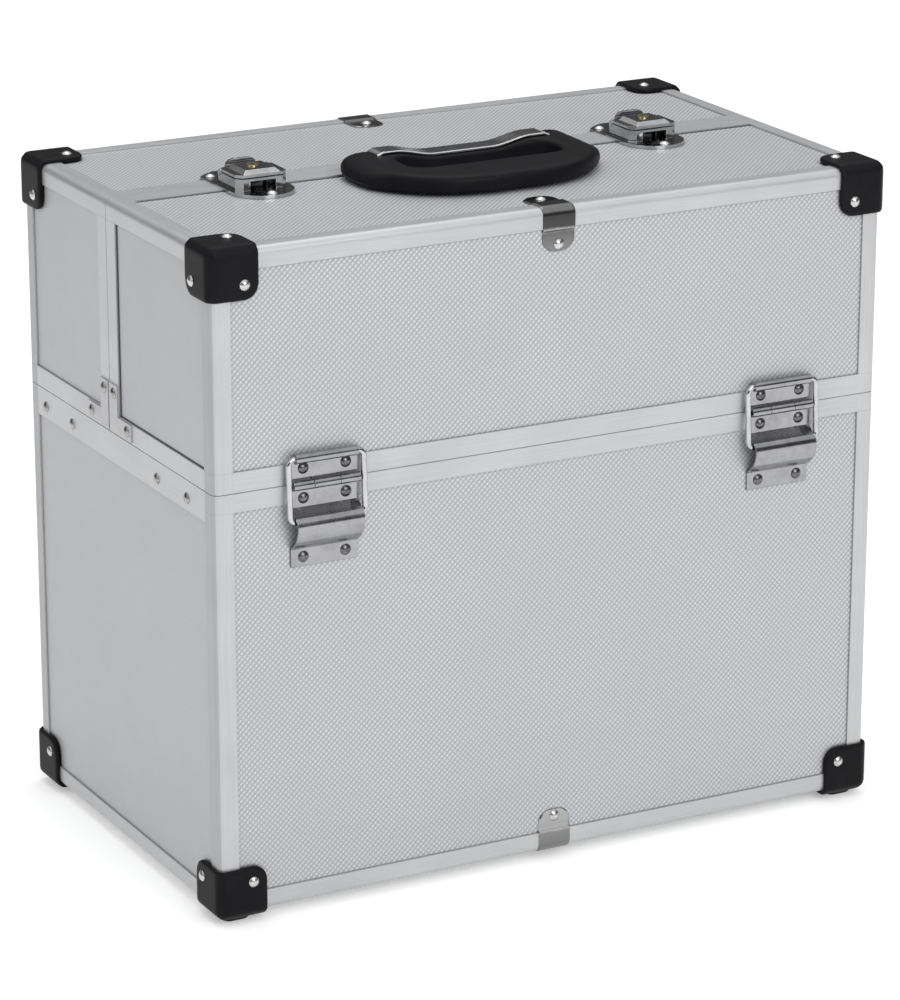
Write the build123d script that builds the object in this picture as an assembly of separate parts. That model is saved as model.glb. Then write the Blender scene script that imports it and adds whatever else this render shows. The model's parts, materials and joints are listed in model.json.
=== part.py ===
from build123d import *
from math import atan2, cos, degrees, pi, radians, sin
import os

# Aluminium tool case with two lids that open outward to the front and to the back.
# Millimetres. X runs along the case, -Y is the front, +Z is up.
# The origin is on the floor, under the centre of the box.

# Box
CASE_W = 376.0
CASE_D = 225.0
CASE_H = 338.0
BASE_H = 218.0
FRONT_LID_D = 121.0
SPLIT_GAP = 0.5
SEAM_GAP = 0.3

# Boards and linings
PANEL_T = 3.2
LINING_T = 1.5
PANEL_FIT = 0.2

# Extruded rails
WALL = 1.0
RAIL_W = 10.4
RAIL_INNER_W = 9.0
EDGE_R = 4.0
BASE_RIM_W = 9.5
BASE_SIDE_RIM_W = 15.5
LID_RIM_W = 10.3
DECK_T = 1.2
RIM_INNER_W = 8.0
LIP_H = 5.0
LIP_FIT = 0.6

# Moulded corners and feet
CAP_T = 2.2
CAP_FLAP = 25.0
CAP_CUT = 3.4
CAP_BEVEL = 2.2
FLAP_ROUND = 8.0
FOOT_H = 2.8
FOOT_W = 15.0
FOOT_INSET = 3.5
FOOT_TAPER = 12.0
CAP_RIVET_AT = 17.0

# Dome rivets
RIVET_R = 2.9
RIVET_TOP_R = 1.6
RIVET_H = 1.5
RIVET_SIDES = 8

# Flats on knuckles and rolls, and on bent wire: few enough for a light mesh
ROUND_SIDES = 12
WIRE_SIDES = 8

# Edge clips and corner plates
CLIP_W = 18.0
CLIP_T = 0.8
CLIP_STEP_AT = RAIL_W + 0.3
CLIP_TOP_LEG = 25.0
CLIP_SIDE_LEG = 22.0
CLIP_RIVET_AT = 18.5
PLATE_T = 0.8
PLATE_LEG = 26.0
PLATE_MARGIN = 0.4
PLATE_RIVET_IN = 5.6
PLATE_RIVET_OUT = 21.3

# Rim rivets on both sides, measured from the front face
RIM_RIVET_Y = (31.0, 66.0, 170.0, 204.0)
RIM_RIVET_DROP = 9.2

# Stay hinges
HINGE_X = 129.5
HINGE_W = 36.0
LEAF_T = 1.0
PIN_R = 1.5
RUN_FIT = 0.05
KNUCKLE_GAP = 0.3
MIDDLE_KNUCKLE_W = 14.4
STAY_R = 1.5
STAY_W = 40.5
STAY_L = 31.5
STAY_BEND_R = 3.2
BEND_CUT = 0.6
STAY_PIVOT_Z = 13.5
STAY_REST_LEAN = -3.3
LID_SWING = 95.0
STAY_SHARE = 0.338
POCKET_FIT = 0.6
POCKET_STEPS = 4
POCKET_TOP_Z = -11.5
POCKET_END_Z = -32.5
FLANGE_END_Z = -42.0
HINGE_RIVET_X = 11.45
UPPER_RIVET_Z = 8.0
LOWER_RIVET_Z = -7.0
FLANGE_RIVET_Z = -37.2

# Carrying handle, folded forward on the front lid
HANDLE_V = 15.0
PIVOT_H = 5.8
BAR_R = 5.2
HANDLE_T = 10.0
HANDLE_HALF = 68.0
HANDLE_REACH = 66.0
HANDLE_END_H = -1.5
HANDLE_END_L = 15.0
HANDLE_SOFT_R = 2.0
HANDLE_BOW = ((16.0, 0.0), (34.0, 4.0), (48.0, 12.0), (60.0, 25.0), (67.0, 38.0))
GAP_HALF = 44.0
GAP_NEAR = 11.0
GAP_FAR = 38.0
GAP_CUT = 5.0
JOURNAL_R = 2.0
SADDLE_X = 52.0
SADDLE_W = 6.6
SADDLE_T = 1.0
SADDLE_FOOT = 8.0
SADDLE_CLEAR = 0.5
NOTCH_W = 7.4
NOTCH_REACH = 13.0
STRAP_HALF = 49.5
STRAP_W = 12.0
STRAP_T = 1.6
STRAP_DIP = 3.6
STRAP_BACK = 3.4

# Key latches
LATCH_X = 112.5
LATCH_PLATE_T = 0.8
LATCH_PLATE_HALF = 16.5
LATCH_PLATE_V = 37.0
LATCH_RIVET_IN = 4.2
HOUSING_HALF = 14.0
HOUSING_T = 1.0
HOUSING_V = 22.6
HOUSING_H = 6.6
HOUSING_CUT = 3.2
HOUSING_MOUTH = 7.0
LINTEL_H = 1.3
HOUSING_BACK = 0.6
EAR_R = 1.85
LEVER_GAP = 0.6
LEVER_SIDE_GAP = 0.4
LEVER_T = 1.2
LEVER_EDGE_H = 8.6
LEVER_TOP = 10.4
LEVER_WIDE_V = 3.0
PLATEAU_HALF = 7.9
PLATEAU_FRONT_IN = 3.3
PLATEAU_SLOPE = 2.2
LEVER_PIVOT_V = 1.2
LEVER_ROLL_R = 2.4
LEVER_PIN_R = 1.2
KEY_V = 10.3
KEY_R = 3.2
KEY_PROUD = 0.6
KEY_DEPTH = 6.4
KEY_SLOT_W = 1.0
KEY_SLOT_DEEP = 2.0
CAM_L = 6.2
CAM_W = 3.0
CAM_T = 1.5
KEEPER_GAP = 0.5
KEEPER_T = 1.1
KEEPER_L = 5.0
CATCH_GAP = 0.8
CATCH_HALF = 16.5
CATCH_RIVET_X = 12.3
CATCH_RIVET_V = 13.3
CATCH_EDGE = ((16.5, 15.8), (11.8, 20.0), (6.3, 23.0))
CATCH_LIP_V = 2.9
CATCH_LIP_T = 1.2
CATCH_LIP_H = 11.5
CATCH_ROLL_R = 1.3
CATCH_RAMP_L = 4.4
CATCH_CREST = ((8.0, 9.2), (6.2, 10.8), (3.4, 11.5))

# Levels and offsets that follow from the sizes above
Z_BOTTOM = FOOT_H + CAP_T
Z_SEAM = Z_BOTTOM + BASE_H
Z_TOP = Z_BOTTOM + CASE_H
HALF_W = CASE_W / 2
HALF_D = CASE_D / 2
SPLIT_Y = FRONT_LID_D - HALF_D
PANEL_IN = WALL + PANEL_T
CORE = PANEL_IN + WALL
LIP_IN = CORE + LIP_FIT
LIP_OUT = LIP_IN + WALL
Z_LID = Z_SEAM + SEAM_GAP
KNUCKLE_R = PIN_R + RUN_FIT + LEAF_T
ROLL_R = STAY_R + RUN_FIT + LEAF_T
LEVER_PIVOT_H = LEVER_EDGE_H - LEVER_ROLL_R
KEY_LOW = LEVER_TOP - KEY_DEPTH

parts = {}


def disc(radius, sides=ROUND_SIDES):
    """Round section drawn with flats, its corners on the radius."""
    return RegularPolygon(radius, sides)


def bore(radius):
    """Hole in which a disc of that radius turns: its flats clear the disc's corners."""
    return RegularPolygon(radius + RUN_FIT, ROUND_SIDES, major_radius=False)


def block(low, high):
    """A box between two corners."""
    size = [b - a for a, b in zip(low, high)]
    return Pos(*low) * Box(*size, align=(Align.MIN, Align.MIN, Align.MIN))


def flipped(shapes):
    """The same shapes on the other long side of the case."""
    return [mirror(shape, about=Plane.XZ) for shape in shapes]


def both_ends(shapes):
    """The shapes and their mirror images at the other end of the case."""
    return list(shapes) + [mirror(shape, about=Plane.YZ) for shape in shapes]


def prism(face, start, along, inward, length):
    """A section drawn in depth from two faces, run along an edge of the box."""
    plane = Plane(origin=start, x_dir=inward, z_dir=along)
    return extrude(plane * face, amount=length)


def edge_section():
    """Corner extrusion: rounded outer angle, hollow core and two slots for the boards."""
    leg = RAIL_INNER_W - PANEL_IN
    low = (Align.MIN, Align.MIN)
    section = Rectangle(CORE, CORE, align=low)
    section += Rectangle(RAIL_W, WALL, align=low) + Rectangle(WALL, RAIL_W, align=low)
    section += Pos(PANEL_IN, PANEL_IN) * (Rectangle(leg, WALL, align=low) + Rectangle(WALL, leg, align=low))
    section = fillet(section.vertices().sort_by_distance((0, 0))[0], EDGE_R)
    chamber = Pos(WALL, WALL) * Rectangle(PANEL_T, PANEL_T, align=low)
    chamber = chamfer(chamber.vertices().sort_by_distance((0, 0))[0], EDGE_R / 2)
    return section - chamber


def split_section():
    """Channel that closes the boards' edges where the two lids meet."""
    low = (Align.MIN, Align.MIN)
    section = Rectangle(WALL, RAIL_W, align=low) + Rectangle(CORE, WALL, align=low)
    return section + Pos(PANEL_IN, 0) * Rectangle(WALL, RIM_INNER_W, align=low)


def outline(depth):
    """Plan of the box at a depth under its outer faces."""
    width, length = CASE_W - 2 * depth, CASE_D - 2 * depth
    radius = EDGE_R - depth
    if radius > 0:
        return RectangleRounded(width, length, radius)
    return Rectangle(width, length)


def band(outer, inner, low, high):
    """A closed wall round the box between two depths and two heights."""
    return extrude(Pos(0, 0, low) * (outline(outer) - outline(inner)), amount=high - low)


def mitred(ring):
    """The four bars of a rim, cut apart on the diagonals of its corners."""
    spread = 2 * RAIL_W
    out_x, out_y = HALF_W + spread, HALF_D + spread
    inner_x = HALF_W - HALF_D
    side = Polyline((-out_x, -out_y), (-inner_x, 0), (-out_x, out_y), close=True)
    front = Polyline((-out_x, -out_y), (out_x, -out_y), (inner_x, 0), (-inner_x, 0), close=True)
    bars = []
    for edge, flip in ((side, Plane.YZ), (front, Plane.XZ)):
        wedge = extrude(make_face(edge), amount=Z_TOP)
        bars += [ring & wedge, ring & mirror(wedge, about=flip)]
    return bars


def rivet(at, normal):
    """Low dome head of a rivet, seated on the face that it holds."""
    narrowing = (RIVET_R - RIVET_TOP_R) * cos(pi / RIVET_SIDES)
    taper = degrees(atan2(narrowing, RIVET_H))
    head = extrude(RegularPolygon(RIVET_R, RIVET_SIDES), amount=RIVET_H, taper=taper)
    return Plane(origin=at, z_dir=normal).location * head


def base_panels():
    """Five boards of the base, held in the slots of the rails."""
    edge = CORE + PANEL_FIT
    end_x, end_y = HALF_W - edge, HALF_D - edge
    low, top = Z_BOTTOM + edge, Z_SEAM - DECK_T - PANEL_FIT
    long_panel = block((-end_x, -HALF_D + WALL, low), (end_x, -HALF_D + PANEL_IN, top))
    side_panel = block((-HALF_W + WALL, -end_y, low), (-HALF_W + PANEL_IN, end_y, top))
    parts["base_front_panel"] = [long_panel]
    parts["base_back_panel"] = flipped([long_panel])
    parts["base_left_panel"] = [side_panel]
    parts["base_right_panel"] = [mirror(side_panel, about=Plane.YZ)]
    bottom_panel = block((-end_x, -end_y, Z_BOTTOM + WALL), (end_x, end_y, Z_BOTTOM + PANEL_IN))
    parts["base_bottom_panel"] = [bottom_panel]


def base_rails():
    """Rim bars with the locating lip, the four bottom edges and the four posts."""
    rim = band(0, WALL, Z_SEAM - BASE_RIM_W, Z_SEAM)
    rim += band(0, LIP_OUT, Z_SEAM - DECK_T, Z_SEAM)
    rim += band(PANEL_IN, CORE, Z_SEAM - RIM_INNER_W, Z_SEAM)
    rim += band(LIP_IN, LIP_OUT, Z_SEAM, Z_SEAM + LIP_H)
    reach = HALF_D - RAIL_W
    skirt = block((-HALF_W, -reach, Z_SEAM - BASE_SIDE_RIM_W), (-HALF_W + WALL, reach, Z_SEAM - BASE_RIM_W))
    rim += both_ends([skirt])
    parts["base_rim_rails"] = mitred(rim)

    section = edge_section()
    start_x, start_y = HALF_W - RAIL_W, HALF_D - RAIL_W
    long_edge = prism(section, (-start_x, -HALF_D, Z_BOTTOM), (1, 0, 0), (0, 1, 0), 2 * start_x)
    side_edge = prism(section, (-HALF_W, -start_y, Z_BOTTOM), (0, 1, 0), (0, 0, 1), 2 * start_y)
    post_h = BASE_H - RAIL_W - BASE_RIM_W
    post = prism(section, (-HALF_W, -HALF_D, Z_BOTTOM + RAIL_W), (0, 0, 1), (1, 0, 0), post_h)
    posts = both_ends([post])
    rails = [long_edge] + flipped([long_edge]) + both_ends([side_edge]) + posts + flipped(posts)
    parts["base_edge_rails"] = rails


def corner_cap(foot):
    """Three-sided moulded corner at the origin, with the box in the positive octant."""
    cap = block((-CAP_T, -CAP_T, -CAP_T), (CAP_FLAP, CAP_FLAP, CAP_FLAP))
    near = cap.vertices().sort_by_distance((-CAP_T, -CAP_T, -CAP_T))[0]
    cap = chamfer([edge for edge in cap.edges() if near in edge.vertices()], CAP_CUT)
    bar = Rectangle(RAIL_W, RAIL_W, align=(Align.MIN, Align.MIN))
    bar = chamfer(bar.vertices().sort_by_distance((0, 0))[0], CAP_BEVEL)
    run = CAP_FLAP + 1
    bars = [
        extrude(Plane(origin=(0, 0, 0), x_dir=x_dir, z_dir=z_dir) * bar, amount=run)
        for x_dir, z_dir in (((1, 0, 0), (0, 0, 1)), ((0, 1, 0), (1, 0, 0)), ((0, 0, 1), (0, 1, 0)))
    ]
    cap -= bars + [block((WALL, WALL, WALL), (run, run, run))]
    tips = []
    for edge in cap.edges():
        centre = edge.center()
        far = [abs(value - CAP_FLAP) < 0.01 for value in (centre.X, centre.Y, centre.Z)]
        if sum(far) == 2 and edge.length < CAP_T + WALL + 0.01:
            tips.append(edge)
    cap = fillet(tips, FLAP_ROUND)
    if foot:
        pad = Rectangle(FOOT_W, FOOT_W)
        pad = chamfer(pad.vertices(), FOOT_W / 6)
        centre = FOOT_INSET + FOOT_W / 2
        pad_plane = Plane(origin=(centre, centre, -CAP_T), x_dir=(1, 0, 0), z_dir=(0, 0, -1))
        cap += extrude(pad_plane * pad, amount=FOOT_H, taper=FOOT_TAPER)
    return cap


def cap_rivets(z_face, z_step):
    """Three rivets on the cap at the front left corner, one in each flap."""
    at = CAP_RIVET_AT
    x_face, y_face = -HALF_W - CAP_T, -HALF_D - CAP_T
    z_side = z_face - z_step * (CAP_T + at)
    return [
        rivet((x_face, -HALF_D + at, z_side), (-1, 0, 0)),
        rivet((-HALF_W + at, y_face, z_side), (0, -1, 0)),
        rivet((-HALF_W + at, -HALF_D + at, z_face), (0, 0, z_step)),
    ]


def base_caps():
    """Bottom corners with a foot each."""
    cap = Pos(-HALF_W, -HALF_D, Z_BOTTOM) * corner_cap(foot=True)
    caps = both_ends([cap])
    parts["base_corner_caps"] = caps + flipped(caps)


def lid_caps(front):
    """Top corners of one lid."""
    corner = mirror(corner_cap(foot=False), about=Plane.XY)
    caps = both_ends([Pos(-HALF_W, -HALF_D, Z_TOP) * corner])
    return caps if front else flipped(caps)


def edge_clip():
    """Bent steel clip over a top front edge, stepped down from the rail to the board."""
    near, far = CLIP_STEP_AT, CLIP_STEP_AT + WALL
    rise = CLIP_T * 0.4
    face = WALL - CLIP_T
    legs = [
        (CLIP_TOP_LEG, WALL), (far, WALL), (near, 0), (0, 0), (0, near),
        (WALL, far), (WALL, CLIP_SIDE_LEG),
    ]
    skin = [
        (face, CLIP_SIDE_LEG), (face, far + rise), (-CLIP_T, near + rise), (-CLIP_T, -CLIP_T),
        (near + rise, -CLIP_T), (far + rise, face), (CLIP_TOP_LEG, face),
    ]
    section = make_face(Polyline(*legs, *skin, close=True))
    bends = section.vertices()
    section = fillet(bends.sort_by_distance((0, 0))[0], EDGE_R)
    section = fillet(section.vertices().sort_by_distance((-CLIP_T, -CLIP_T))[0], EDGE_R + CLIP_T)
    plane = Plane(origin=(-CLIP_W / 2, -HALF_D, Z_TOP), x_dir=(0, 1, 0), z_dir=(-1, 0, 0))
    clip = extrude(plane * section, amount=-CLIP_W)
    top_end, side_end = -HALF_D + CLIP_TOP_LEG - 0.01, Z_TOP - CLIP_SIDE_LEG + 0.01
    tips = [
        edge
        for edge in clip.edges()
        if edge.length < CLIP_T + 0.01 and (edge.center().Y > top_end or edge.center().Z < side_end)
    ]
    return chamfer(tips, CLIP_W / 4)


def clip_rivets():
    """One rivet on each leg of the front clip."""
    face = WALL - CLIP_T
    return [
        rivet((0, -HALF_D + CLIP_RIVET_AT, Z_TOP - face), (0, 0, 1)),
        rivet((0, -HALF_D + face, Z_TOP - CLIP_RIVET_AT), (0, -1, 0)),
    ]


def lid_frame(name, depth, front):
    """Boards, rails, corner plates, clip, caps and lining of one lid, drawn for the front."""
    split = -HALF_D + depth
    edge = CORE + PANEL_FIT
    low = Z_LID + DECK_T + PANEL_FIT
    high = Z_TOP - edge
    cut = split - WALL - PANEL_FIT

    def keep(key, shapes):
        parts[name + "_" + key] = list(shapes) if front else flipped(shapes)

    top = block((-HALF_W + edge, -HALF_D + edge, Z_TOP - PANEL_IN), (HALF_W - edge, cut, Z_TOP - WALL))
    wall = block((-HALF_W + edge, -HALF_D + WALL, low), (HALF_W - edge, -HALF_D + PANEL_IN, high))
    side = block((-HALF_W + WALL, -HALF_D + edge, low), (-HALF_W + PANEL_IN, cut, high))
    keep("top_panel", [top])
    keep("long_panel", [wall])
    keep("left_panel", [side])
    keep("right_panel", [mirror(side, about=Plane.YZ)])

    rim = band(0, WALL, Z_LID, Z_LID + LID_RIM_W)
    rim += band(0, CORE, Z_LID, Z_LID + DECK_T)
    rim += band(PANEL_IN, CORE, Z_LID, Z_LID + RIM_INNER_W)
    room = block((-CASE_W, -CASE_D, 0), (CASE_W, split, 2 * Z_TOP))
    bars = [bar & room for bar in mitred(rim)]
    keep("rim_rails", [bar for bar in bars if bar.volume > 1 and bar.center().Y < split])

    section = edge_section()
    start_x = HALF_W - RAIL_W
    long_edge = prism(section, (start_x, -HALF_D, Z_TOP), (-1, 0, 0), (0, 1, 0), 2 * start_x)
    side_edge = prism(section, (-HALF_W, -HALF_D + RAIL_W, Z_TOP), (0, 1, 0), (1, 0, 0), depth - RAIL_W)
    post_low = Z_LID + LID_RIM_W
    post_h = Z_TOP - RAIL_W - post_low
    post = prism(section, (-HALF_W, -HALF_D, post_low), (0, 0, 1), (1, 0, 0), post_h)
    keep("edge_rails", [long_edge] + both_ends([side_edge, post]))

    channel = split_section()
    top_rail = prism(channel, (start_x, split, Z_TOP), (-1, 0, 0), (0, 0, -1), 2 * start_x)
    side_rail = prism(channel, (-HALF_W, split, Z_TOP - RAIL_W), (0, 0, -1), (1, 0, 0), post_h)
    keep("split_rails", [top_rail] + both_ends([side_rail]))

    plate_low, plate_end = Z_LID + PLATE_T, split - PLATE_MARGIN
    upright_from, foot_top = split - RAIL_W + PLATE_MARGIN, Z_LID + LID_RIM_W - PLATE_MARGIN
    plate_x = -HALF_W - PLATE_T
    plate = block((plate_x, upright_from, plate_low), (-HALF_W, plate_end, Z_LID + PLATE_LEG))
    plate += block((plate_x, split - PLATE_LEG, plate_low), (-HALF_W, plate_end, foot_top))
    keep("corner_plates", both_ends([plate]))

    keep("corner_caps", lid_caps(True))
    keep("edge_clip", [edge_clip()])

    inner_x, inner_y = HALF_W - CORE, HALF_D - CORE
    lining_low = Z_SEAM + LIP_H + LIP_FIT
    lining = block((-inner_x, -inner_y, lining_low), (inner_x, split - CORE, Z_TOP - CORE))
    room_x, room_y = inner_x - LINING_T, inner_y - LINING_T
    lining -= block((-room_x, -room_y, lining_low), (room_x, split, Z_TOP - CORE - LINING_T))
    keep("lining", [lining])

    rivets = cap_rivets(Z_TOP + CAP_T, 1)
    for along, height in ((PLATE_RIVET_IN, PLATE_RIVET_OUT), (PLATE_RIVET_OUT, PLATE_RIVET_IN)):
        rivets.append(rivet((-HALF_W - PLATE_T, split - along, Z_LID + height), (-1, 0, 0)))
    rivets = both_ends(rivets) + clip_rivets() + hinge_rivets([UPPER_RIVET_Z])
    return rivets


def stay_point(swing):
    """Distance out from the face and height above the seam of the stay's lower bar."""
    turn = radians(swing)
    lean = radians(STAY_REST_LEAN + STAY_SHARE * swing)
    out = KNUCKLE_R + (ROLL_R - KNUCKLE_R) * cos(turn) + STAY_PIVOT_Z * sin(turn) - STAY_L * sin(lean)
    rise = STAY_PIVOT_Z * cos(turn) - STAY_L * cos(lean)
    return out, rise


def pocket_points(clear):
    """Places at one distance outside the bar's path, from the closed lid to the open lid."""
    points = []
    for step in range(POCKET_STEPS + 1):
        swing = LID_SWING * step / POCKET_STEPS
        out, rise = stay_point(swing)
        before, after = stay_point(swing - 2), stay_point(swing + 2)
        side = atan2(after[1] - before[1], after[0] - before[0]) + pi / 2
        points.append((out + clear * cos(side), rise + clear * sin(side)))
    return points


def hinge_plane():
    """Outward distance and height above the seam, at the middle of the left front hinge."""
    return Plane(origin=(-HINGE_X, -HALF_D, Z_SEAM), x_dir=(0, -1, 0), z_dir=(-1, 0, 0))


def across(face, low, high):
    """A hinge section run between two places across the hinge."""
    return extrude(hinge_plane() * (Pos(0, 0, low) * face), amount=high - low)


def sheet(low, high, start=0.0):
    """Section of a flat leaf between two heights."""
    return Pos(start, low) * Rectangle(LEAF_T, high - low, align=(Align.MIN, Align.MIN))


def upper_leaf():
    """Lid leaf with the middle knuckle and the roll that carries the stay."""
    half = HINGE_W / 2
    plate = sheet(KNUCKLE_R + KNUCKLE_GAP, STAY_PIVOT_Z)
    roll = sheet(KNUCKLE_R + KNUCKLE_GAP, STAY_PIVOT_Z) + Pos(ROLL_R, STAY_PIVOT_Z) * disc(ROLL_R)
    roll -= Pos(ROLL_R, STAY_PIVOT_Z) * Circle(STAY_R + RUN_FIT)
    knuckle = sheet(0, STAY_PIVOT_Z / 2) + Pos(KNUCKLE_R, 0) * disc(KNUCKLE_R)
    knuckle -= Pos(KNUCKLE_R, 0) * bore(PIN_R)
    middle = MIDDLE_KNUCKLE_W / 2 - KNUCKLE_GAP
    straight = STAY_W / 2 - STAY_BEND_R - KNUCKLE_GAP
    leaf = across(plate, -half, half) + across(roll, -straight, straight)
    return leaf + across(knuckle, -middle, middle)


def lower_leaf():
    """Base leaf with the outer knuckles, and the bulged pocket that the stay slides in."""
    half = HINGE_W / 2
    top_z = -KNUCKLE_R - KNUCKLE_GAP
    inner, outer = pocket_points(STAY_R + POCKET_FIT), pocket_points(STAY_R + POCKET_FIT + LEAF_T)
    flange = LEAF_T - WALL
    section = [(0, top_z), (LEAF_T, top_z), (LEAF_T, POCKET_TOP_Z), *outer]
    section += [(flange, POCKET_END_Z - LEAF_T / 2), (flange, FLANGE_END_Z), (-WALL, FLANGE_END_Z)]
    section += [(-WALL, POCKET_END_Z), *reversed(inner), (0, POCKET_TOP_Z - LEAF_T / 2)]
    leaf = across(make_face(Polyline(*section, close=True)), -half, half)
    knuckle = sheet(-STAY_PIVOT_Z / 2, 0) + Pos(KNUCKLE_R, 0) * disc(KNUCKLE_R)
    knuckle -= Pos(KNUCKLE_R, 0) * bore(PIN_R)
    middle = MIDDLE_KNUCKLE_W / 2
    return leaf + across(knuckle, -half, -middle) + across(knuckle, middle, half)


def stay():
    """Closed wire frame: its top bar turns in the lid's roll, its lower bar rides in the pocket."""
    lean = radians(STAY_REST_LEAN)
    down = Vector(0, sin(lean), -cos(lean))
    pivot = Vector(-HINGE_X, -HALF_D - ROLL_R, Z_SEAM + STAY_PIVOT_Z)
    plane = Plane(origin=pivot + down * (STAY_L / 2), x_dir=(1, 0, 0), z_dir=Vector(1, 0, 0).cross(-down))
    frame = Rectangle(STAY_W, STAY_L)
    frame = chamfer(frame.vertices(), STAY_BEND_R * BEND_CUT)
    path = plane * frame.wire()
    start = path.edges().filter_by(lambda edge: edge.length > STAY_W / 2).sort_by(Axis.Z)[0]
    cross = Plane(origin=start @ 0.5, x_dir=Vector(1, 0, 0).cross(-down), z_dir=start % 0.5)
    return sweep(cross * disc(STAY_R, WIRE_SIDES), path=path, transition=Transition.RIGHT)


def hinge_pin():
    """Pin through the three knuckles."""
    return across(Pos(KNUCKLE_R, 0) * Circle(PIN_R), -HINGE_W / 2, HINGE_W / 2)


def hinge_rivets(heights):
    """Rivets of both front hinges at the given heights from the seam."""
    rivets = []
    for height in heights:
        out = LEAF_T - WALL if height < POCKET_END_Z else LEAF_T
        for place in (-HINGE_RIVET_X, HINGE_RIVET_X):
            rivets.append(rivet((-HINGE_X + place, -HALF_D - out, Z_SEAM + height), (0, -1, 0)))
    return both_ends(rivets)


def hinges():
    """Leaves, stays and pins of the four hinges."""
    leaves = {"hinge_upper_leaf": upper_leaf(), "hinge_lower_leaf": lower_leaf(), "hinge_stay": stay()}
    for key, left in leaves.items():
        right = mirror(left, about=Plane.YZ)
        parts[key + "_front_left"] = [left]
        parts[key + "_front_right"] = [right]
        parts[key + "_back_left"] = flipped([left])
        parts[key + "_back_right"] = flipped([right])
    pins = both_ends([hinge_pin()])
    parts["hinge_pins"] = pins + flipped(pins)


def base_lining():
    """Thin tray that lines the base."""
    inner_x, inner_y = HALF_W - CORE, HALF_D - CORE
    lining = block((-inner_x, -inner_y, Z_BOTTOM + CORE), (inner_x, inner_y, Z_SEAM - DECK_T))
    lining -= block(
        (-inner_x + LINING_T, -inner_y + LINING_T, Z_BOTTOM + CORE + LINING_T),
        (inner_x - LINING_T, inner_y - LINING_T, Z_SEAM),
    )
    parts["base_lining"] = [lining]


def base_rivets():
    """Every rivet of the base: corners, rim sides, clips and hinges."""
    front = both_ends(cap_rivets(Z_BOTTOM - CAP_T, -1)[:2])
    low_clip = [mirror(item, about=Plane.XY.offset((Z_TOP + Z_BOTTOM) / 2)) for item in clip_rivets()]
    corner = front + low_clip + hinge_rivets([LOWER_RIVET_Z, FLANGE_RIVET_Z])
    rim = [rivet((-HALF_W, -HALF_D + y, Z_SEAM - RIM_RIVET_DROP), (-1, 0, 0)) for y in RIM_RIVET_Y]
    parts["base_rivets"] = corner + flipped(corner) + both_ends(rim)


def base_clips():
    """Bottom edge clips, front and back."""
    clip = mirror(edge_clip(), about=Plane.XY.offset((Z_TOP + Z_BOTTOM) / 2))
    parts["base_edge_clips"] = [clip] + flipped([clip])


def handle_point(forward, height):
    """A place on the handle, from its pivot line forward and from the top rails up."""
    return SPLIT_Y - HANDLE_V - forward, Z_TOP + height


def handle_section():
    """Front view of the grip: flat under, crowned over, low at both ends."""
    low, high = -BAR_R, HANDLE_T - BAR_R
    rise = high - HANDLE_END_H
    half = [(HANDLE_HALF, low), (HANDLE_HALF, HANDLE_END_H)]
    for along, up in ((0.25, 0.55), (0.6, 0.9), (1, 1)):
        half.append((HANDLE_HALF - HANDLE_END_L * along, HANDLE_END_H + rise * up))
    return make_face(Polyline(*half, *[(-x, z) for x, z in reversed(half)], close=True))


def strap_wave(level):
    """Line of the strap seen from the front: high at both ends, low between."""
    half = []
    for along, up in ((0.36, 0), (0.5, 0.3), (0.68, 0.8), (0.84, 1.05), (1, 1)):
        half.append((STRAP_HALF * along, level - STRAP_DIP * (1 - up)))
    return [(-x, z) for x, z in reversed(half)] + half


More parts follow.
